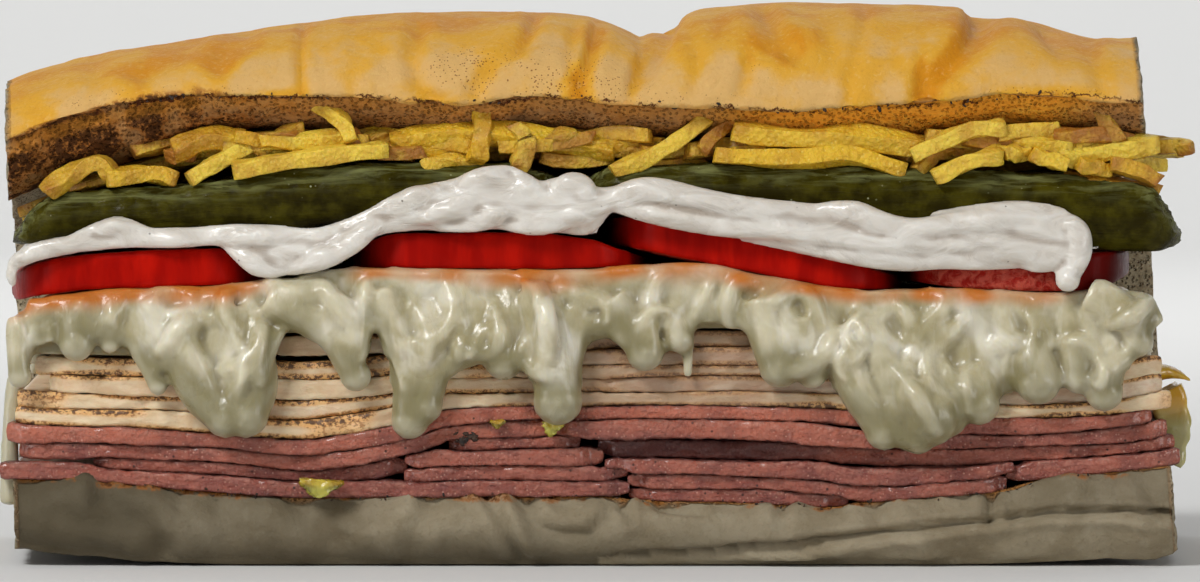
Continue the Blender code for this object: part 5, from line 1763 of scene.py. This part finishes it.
def stick_bmesh(points, thickness, seed, brown):
    """One bent, twisted strip with rounded corners, through (x, y, z) points in millimetres."""
    knots = [Vector(p) for p in points]
    if len(knots) == 2:
        knots.insert(1, (knots[0] + knots[1]) / 2)
    path = spaced(smooth_path(knots), STICK_COLUMNS, lambda p: 1.0)
    twist = 0.5 * wave(seed, 0, 0, 1.7) + 0.15

    def frame_at(i):
        ahead = (path[min(i + 1, STICK_COLUMNS)] - path[max(i - 1, 0)]).normalized()
        side = ahead.cross(Vector((0, 0, 1) if abs(ahead.z) < 0.9 else (0, 1, 0))).normalized()
        turn = Matrix.Rotation(twist + 0.9 * wave(i / 9, seed, 0, 1.0), 3, ahead)
        return turn @ side, turn @ ahead.cross(side)

    frames = [frame_at(i) for i in range(STICK_COLUMNS + 1)]

    def corner(t):
        """Spreads grid lines towards the corners of the section, so that they stay crisp."""
        return math.copysign(1 - (1 - abs(t)) ** 1.7, t)

    def place(u, v, w):
        i = round(u * STICK_COLUMNS)
        side, upward = frames[i]
        a, b = corner(2 * v - 1), corner(2 * w - 1)
        end = min(i, STICK_COLUMNS - i)
        size = thickness / 2 * (1 + 0.16 * wave(i / 5, seed, 0, 1.0, 3)) * (0.93 if end == 0 else 1.0)
        rounded = 1 - 0.07 * a * a * b * b
        slant = (path[min(i + 1, STICK_COLUMNS)] - path[max(i - 1, 0)]).normalized()
        cut = 0.35 * thickness * b * wave(seed, i, 0, 1.3) if end == 0 else 0
        across, thick = a * size * rounded * 1.08, b * size * rounded * 0.86
        return path[i] + side * across + upward * thick + slant * cut

    def relief(point, key):
        x, y, z = point
        return 0.10 * rough(x, y, z, 1.3, seed) + 0.10 * wave(x, y, z, 3.2, seed)

    def paint(point, key):
        ends = rise(abs(key.x - 0.5), 0.36, 0.5)
        edges = rise(abs(2 * key.y - 1) + abs(2 * key.z - 1), 1.6, 2.0)
        toasted = (0.5 * ends + 0.3 * edges) * rise(wave(*point, 2, seed), -0.2, 0.5)
        return {"brown": min(1.0, brown + toasted), "tint": (seed * 0.37) % 1}

    return shape(gridded_box(STICK_COLUMNS, STICK_SIDES, STICK_SIDES), place, relief, paint)


# %% Lay the heap
def heap_bounds(x, y):
    """The lowest and highest a stick's middle may lie in the heap."""
    sag = rise(-x, 44, 62)
    top = min(underside(x, y) - 1.6 - (2.4 + 2.6 * sag) * rise(y, -36, -32) * rise(-y, 0, 14), 56)
    low = 54.0 if y < -2 else settle(pickle_bed(x), 43.4, y) + 1.8
    return min(low, top - 0.5), top


def strewn_sticks(dice, count, depths, lengths, leftmost):
    """Sticks at random in the heap, each bent to stay between pickle and bread."""
    made = []
    for _ in range(count):
        length = dice.uniform(*lengths)
        heading = dice.gauss(0, 0.45)
        x = dice.uniform(leftmost, 74)
        y = dice.uniform(*depths)
        low, high = heap_bounds(x, y)
        z = dice.uniform(low, high)
        half = Vector((math.cos(heading), math.sin(heading), dice.gauss(0, 0.16))) * length / 2
        points = []
        for share in (-1, -0.3, 0.35, 1):
            p = Vector((x, y, z)) + half * share
            p.y = min(max(p.y, depths[0]), depths[1])
            p.x = min(max(p.x, leftmost - 4), 76.5)
            low_here, high_here = heap_bounds(p.x, p.y)
            p.z = min(max(p.z + dice.uniform(-0.4, 0.4), low_here), high_here)
            points.append(tuple(p))
        made.append((points, dice.uniform(1.8, 2.5), dice.random()))
    return made


sticks_bm = bmesh.new()
for number, (run, thickness, depth, brown) in enumerate(STICKS):
    rear = depth + (2.0 if number % 2 else 0.6)
    points = []
    for i, (column, row) in enumerate(run):
        share = i / (len(run) - 1)
        points.append((along(column), depth + (rear - depth) * share, up(row)))
    join_into(sticks_bm, stick_bmesh(points, STICK_SHARE * thickness, 2.3 * number + 1, brown))
dice = random.Random(23)
# Loose sticks near the front and then further back: how many, their depths and lengths, the leftmost middle
strewn = strewn_sticks(dice, 60, (-34.6, -27), (8, 26), -50)
strewn += strewn_sticks(dice, 52, (-28, 27), (10, 34), -72)
for number, (points, thickness, brown) in enumerate(strewn):
    join_into(sticks_bm, stick_bmesh(points, thickness, 200 + 1.7 * number, brown))
print("potato sticks:", len(STICKS) + len(strewn))

# %% Potato finish
potato = new_finish("potato_stick", Subsurface_Weight=0.2,
                    Subsurface_Radius=(0.003, 0.0015, 0.0004), Subsurface_Scale=0.5, Specular_IOR_Level=0.45,
                    Coat_Weight=0.15, Coat_Roughness=0.3)
where = place_of(potato)
crisp = grain(potato, where, 1100, 5, 0.65)
patch = grain(potato, where, 300, 4, 0.55)
granules = cells(potato, where, 1500)
fried = mixed(potato, attribute(potato, "tint"), (0.82, 0.48, 0.010), (0.96, 0.70, 0.070))
fried = layered(
    potato, fried,
    (patch, 0.40, 0.72, 0.0, 0.7, (0.56, 0.27, 0.006)), (crisp, 0.52, 0.78, 0.0, 0.45, (0.78, 0.58, 0.14)),
    (granules, 0.10, 0.34, 0.4, 0.0, (0.94, 0.74, 0.18)))
tan = math_node(potato, "MULTIPLY", attribute(potato, "brown"), span(potato, patch, 0.3, 0.6, 0.45, 1.1))
wire(potato, "Base Color", mixed(potato, tan, fried, (0.40, 0.155, 0.014)))
wire(potato, "Roughness", span(potato, crisp, 0.3, 0.7, 0.40, 0.62))
wire(potato, "Normal", bumped(potato, crisp, 0.0004, bumped(potato, granules, 0.00025)))
tell(potato)
finish_piece("potato_stick_heap", sticks_bm, "potato", potato, "potato_sticks")


# %% Core of the heap
def heap_core():
    """The block of tangled sticks behind those that show."""
    def place(u, v, w):
        x = -69 + 139 * u
        y = -30 + 56 * v
        low, high = heap_bounds(x, y)
        low -= 1.0
        z = low + (high - 0.6 - low) * w + 0.5 * wave(x, y, w, 3, 2)
        return x + 0.8 * wave(y, z, 0, 3, 5), y + 0.9 * wave(x, z, 0, 2.5, 7), z

    # Painted shade: the core is painted dark brown, deep in the heap where the light does not reach.
    return shape(gridded_box(70, 28, 4), place, None, lambda p, k: {"brown": 0.85, "tint": 0.2})


finish_piece("potato_core", heap_core(), "potato", potato)

# %% [markdown]
# ## Pepper and loose bits
# A curl of yellow pepper stands out of the right-hand end with a pointed tip above it, and a green chip has
# been pressed out at the front. Small flakes of pepper, toasted crumbs and specks lie on the meat. Each kind
# of flake is one joined piece.

# %% Pepper pieces
pepper = new_finish("pickled_pepper", Subsurface_Weight=0.45,
                    Subsurface_Radius=(0.003, 0.0025, 0.0006), Subsurface_Scale=0.6, Coat_Weight=0.5,
                    Coat_Roughness=0.1)
where = place_of(pepper)
vein = grain(pepper, place_of(pepper, (1, 1, 0.4)), 380, 5, 0.6, 0.5)
rind = mixed(pepper, span(pepper, vein, 0.35, 0.7), (0.62, 0.34, 0.015), (0.70, 0.50, 0.06))
flesh = mixed(pepper, span(pepper, vein, 0.35, 0.7), (0.42, 0.40, 0.17), (0.56, 0.52, 0.30))
green = mixed(pepper, span(pepper, vein, 0.35, 0.65), (0.060, 0.070, 0.006), (0.46, 0.42, 0.060))
body = mixed(pepper, attribute(pepper, "flesh"), rind, flesh)
wire(pepper, "Base Color", mixed(pepper, attribute(pepper, "green"), body, green))
wire(pepper, "Roughness", span(pepper, vein, 0.3, 0.7, 0.16, 0.32))
wire(pepper, "Normal", bumped(pepper, vein, 0.0003))
tell(pepper)


def pepper_ring():
    """The curl: a bent wall that is yellow outside and pale green inside."""
    def place(u, v, w):
        turn = math.radians(-27 + 54 * u)
        radius = 7.4 + 4.6 * w + 0.4 * wave(u * 6, v * 3, 0, 1.0)
        y = -27 + 12 * v + 0.4 * wave(u * 5, 0, 2, 1.0)
        return 65.9 + radius * math.cos(turn), y, 17.8 + radius * math.sin(turn)

    def paint(point, key):
        return {"flesh": rise(-point.z, -21.5, -17.5) * 0.95, "green": 0.0}

    return shape(gridded_box(40, 30, 6), place, lambda p, k: 0.1 * rough(*p, 2, 3), paint)


def pepper_tip():
    """The tip: a strip that tapers to a point and droops."""
    def place(u, v, w):
        size = (1 - u) ** 0.75 + 0.10
        a, b = 2 * v - 1, 2 * w - 1
        round_off = 1 - 0.25 * a * a * b * b
        droop = 24.5 + 0.4 * math.sin(3 * u) - 0.9 * u * u
        return 73.4 + 4.8 * u, -21 + 3.0 * a * size * round_off, droop + 1.15 * b * size * round_off

    return shape(gridded_box(30, 12, 8), place, lambda p, k: 0.08 * rough(*p, 1.6, 6),
                 lambda p, k: {"flesh": 0.0, "green": 0.0})


def chip(centre, size, seed, green=1.0):
    """A small wedge of pepper with a flat top and torn, tapering sides."""
    def place(u, v, w):
        a, b, c = 2 * u - 1, 2 * v - 1, 2 * w - 1
        taper = 1 - 0.30 * (1 - c) + 0.25 * wave(seed, 3 * c, 2 * b, 1.0)
        soft = 1 - 0.18 * (a * a * c * c)
        return (centre[0] + size[0] / 2 * a * taper * soft, centre[1] + size[1] / 2 * b * soft,
                centre[2] + size[2] / 2 * c * soft * (1 - 0.25 * a) + 0.25 * a * a)

    def relief(point, key):
        return 0.30 * rough(*point, 1.4, seed) + 0.15 * wave(*point, 0.7, seed)

    def paint(point, key):
        return {"flesh": 0.0, "green": green * (1 - 0.5 * rise(key.z, 0.4, 0.8))}

    return shape(gridded_box(22, 12, 12), place, relief, paint)


finish_piece("pepper_curl", pepper_ring(), "pepper", pepper, "pepper_ring")
finish_piece("pepper_point", pepper_tip(), "pepper", pepper, "pepper_tip")
finish_piece("pepper_wedge", chip((-35.8, -39.9, 10.3), (6.4, 3.0, 2.2), 2), "pepper", pepper, "pepper_chip")
bits = chip((along(553), -38.0, up(429)), (3.2, 1.6, 1.5), 7)
join_into(bits, chip((along(497), -37.6, up(425)), (2.2, 0.9, 0.8), 9, 0.8))
finish_piece("pepper_bits", bits, "pepper", pepper)

# %% Flakes and crumbs
charred = new_finish("charred_flake", Roughness=0.7)
ash = grain(charred, place_of(charred), 1500, 4)
wire(charred, "Base Color", layered(charred, (0.012, 0.007, 0.005), (ash, 0.35, 0.65, (0.050, 0.022, 0.010))))
wire(charred, "Normal", bumped(charred, ash, 0.0003))
tell(charred)

# Where flakes lie: their depth, how far in front of it they may be, the line they follow and their sizes
ON_LIP = (-37.3, -0.5, lip_line, (0.12, 0.32))
ON_FLOOR = (-37.4, -0.4, floor_line, (0.10, 0.24))
FLAKES = 150
SPECKS = 16


def flakes(dice):
    """Charred flakes and toasted crumbs on the lips of the roll and on the edges of the meat."""
    bm = bmesh.new()
    spots = []
    for _ in range(FLAKES):
        x = dice.uniform(-60, 66)
        depth, further, edge, sizes = ON_LIP if dice.random() < 0.55 else ON_FLOOR
        spots.append((x, depth + dice.uniform(further, 0.4), edge(x) + dice.gauss(0.1, 0.25),
                      dice.uniform(*sizes)))
    for _ in range(SPECKS):
        spots.append((along(465) + dice.uniform(-1.4, 1.4), -37.9, up(438) + dice.uniform(-0.6, 0.6),
                      dice.uniform(0.25, 0.5)))
    for x, y, z, size in spots:
        turned = Matrix.Rotation(dice.uniform(0, 3), 4, "Y")
        flattened = Matrix.Diagonal((dice.uniform(0.9, 1.7), 0.6, dice.uniform(0.5, 0.9), 1))
        bmesh.ops.create_icosphere(bm, subdivisions=1, radius=size,
                                   matrix=Matrix.Translation((x, y, z)) @ turned @ flattened)
    return bm


finish_piece("charred_flakes", flakes(random.Random(31)), "crust", charred)
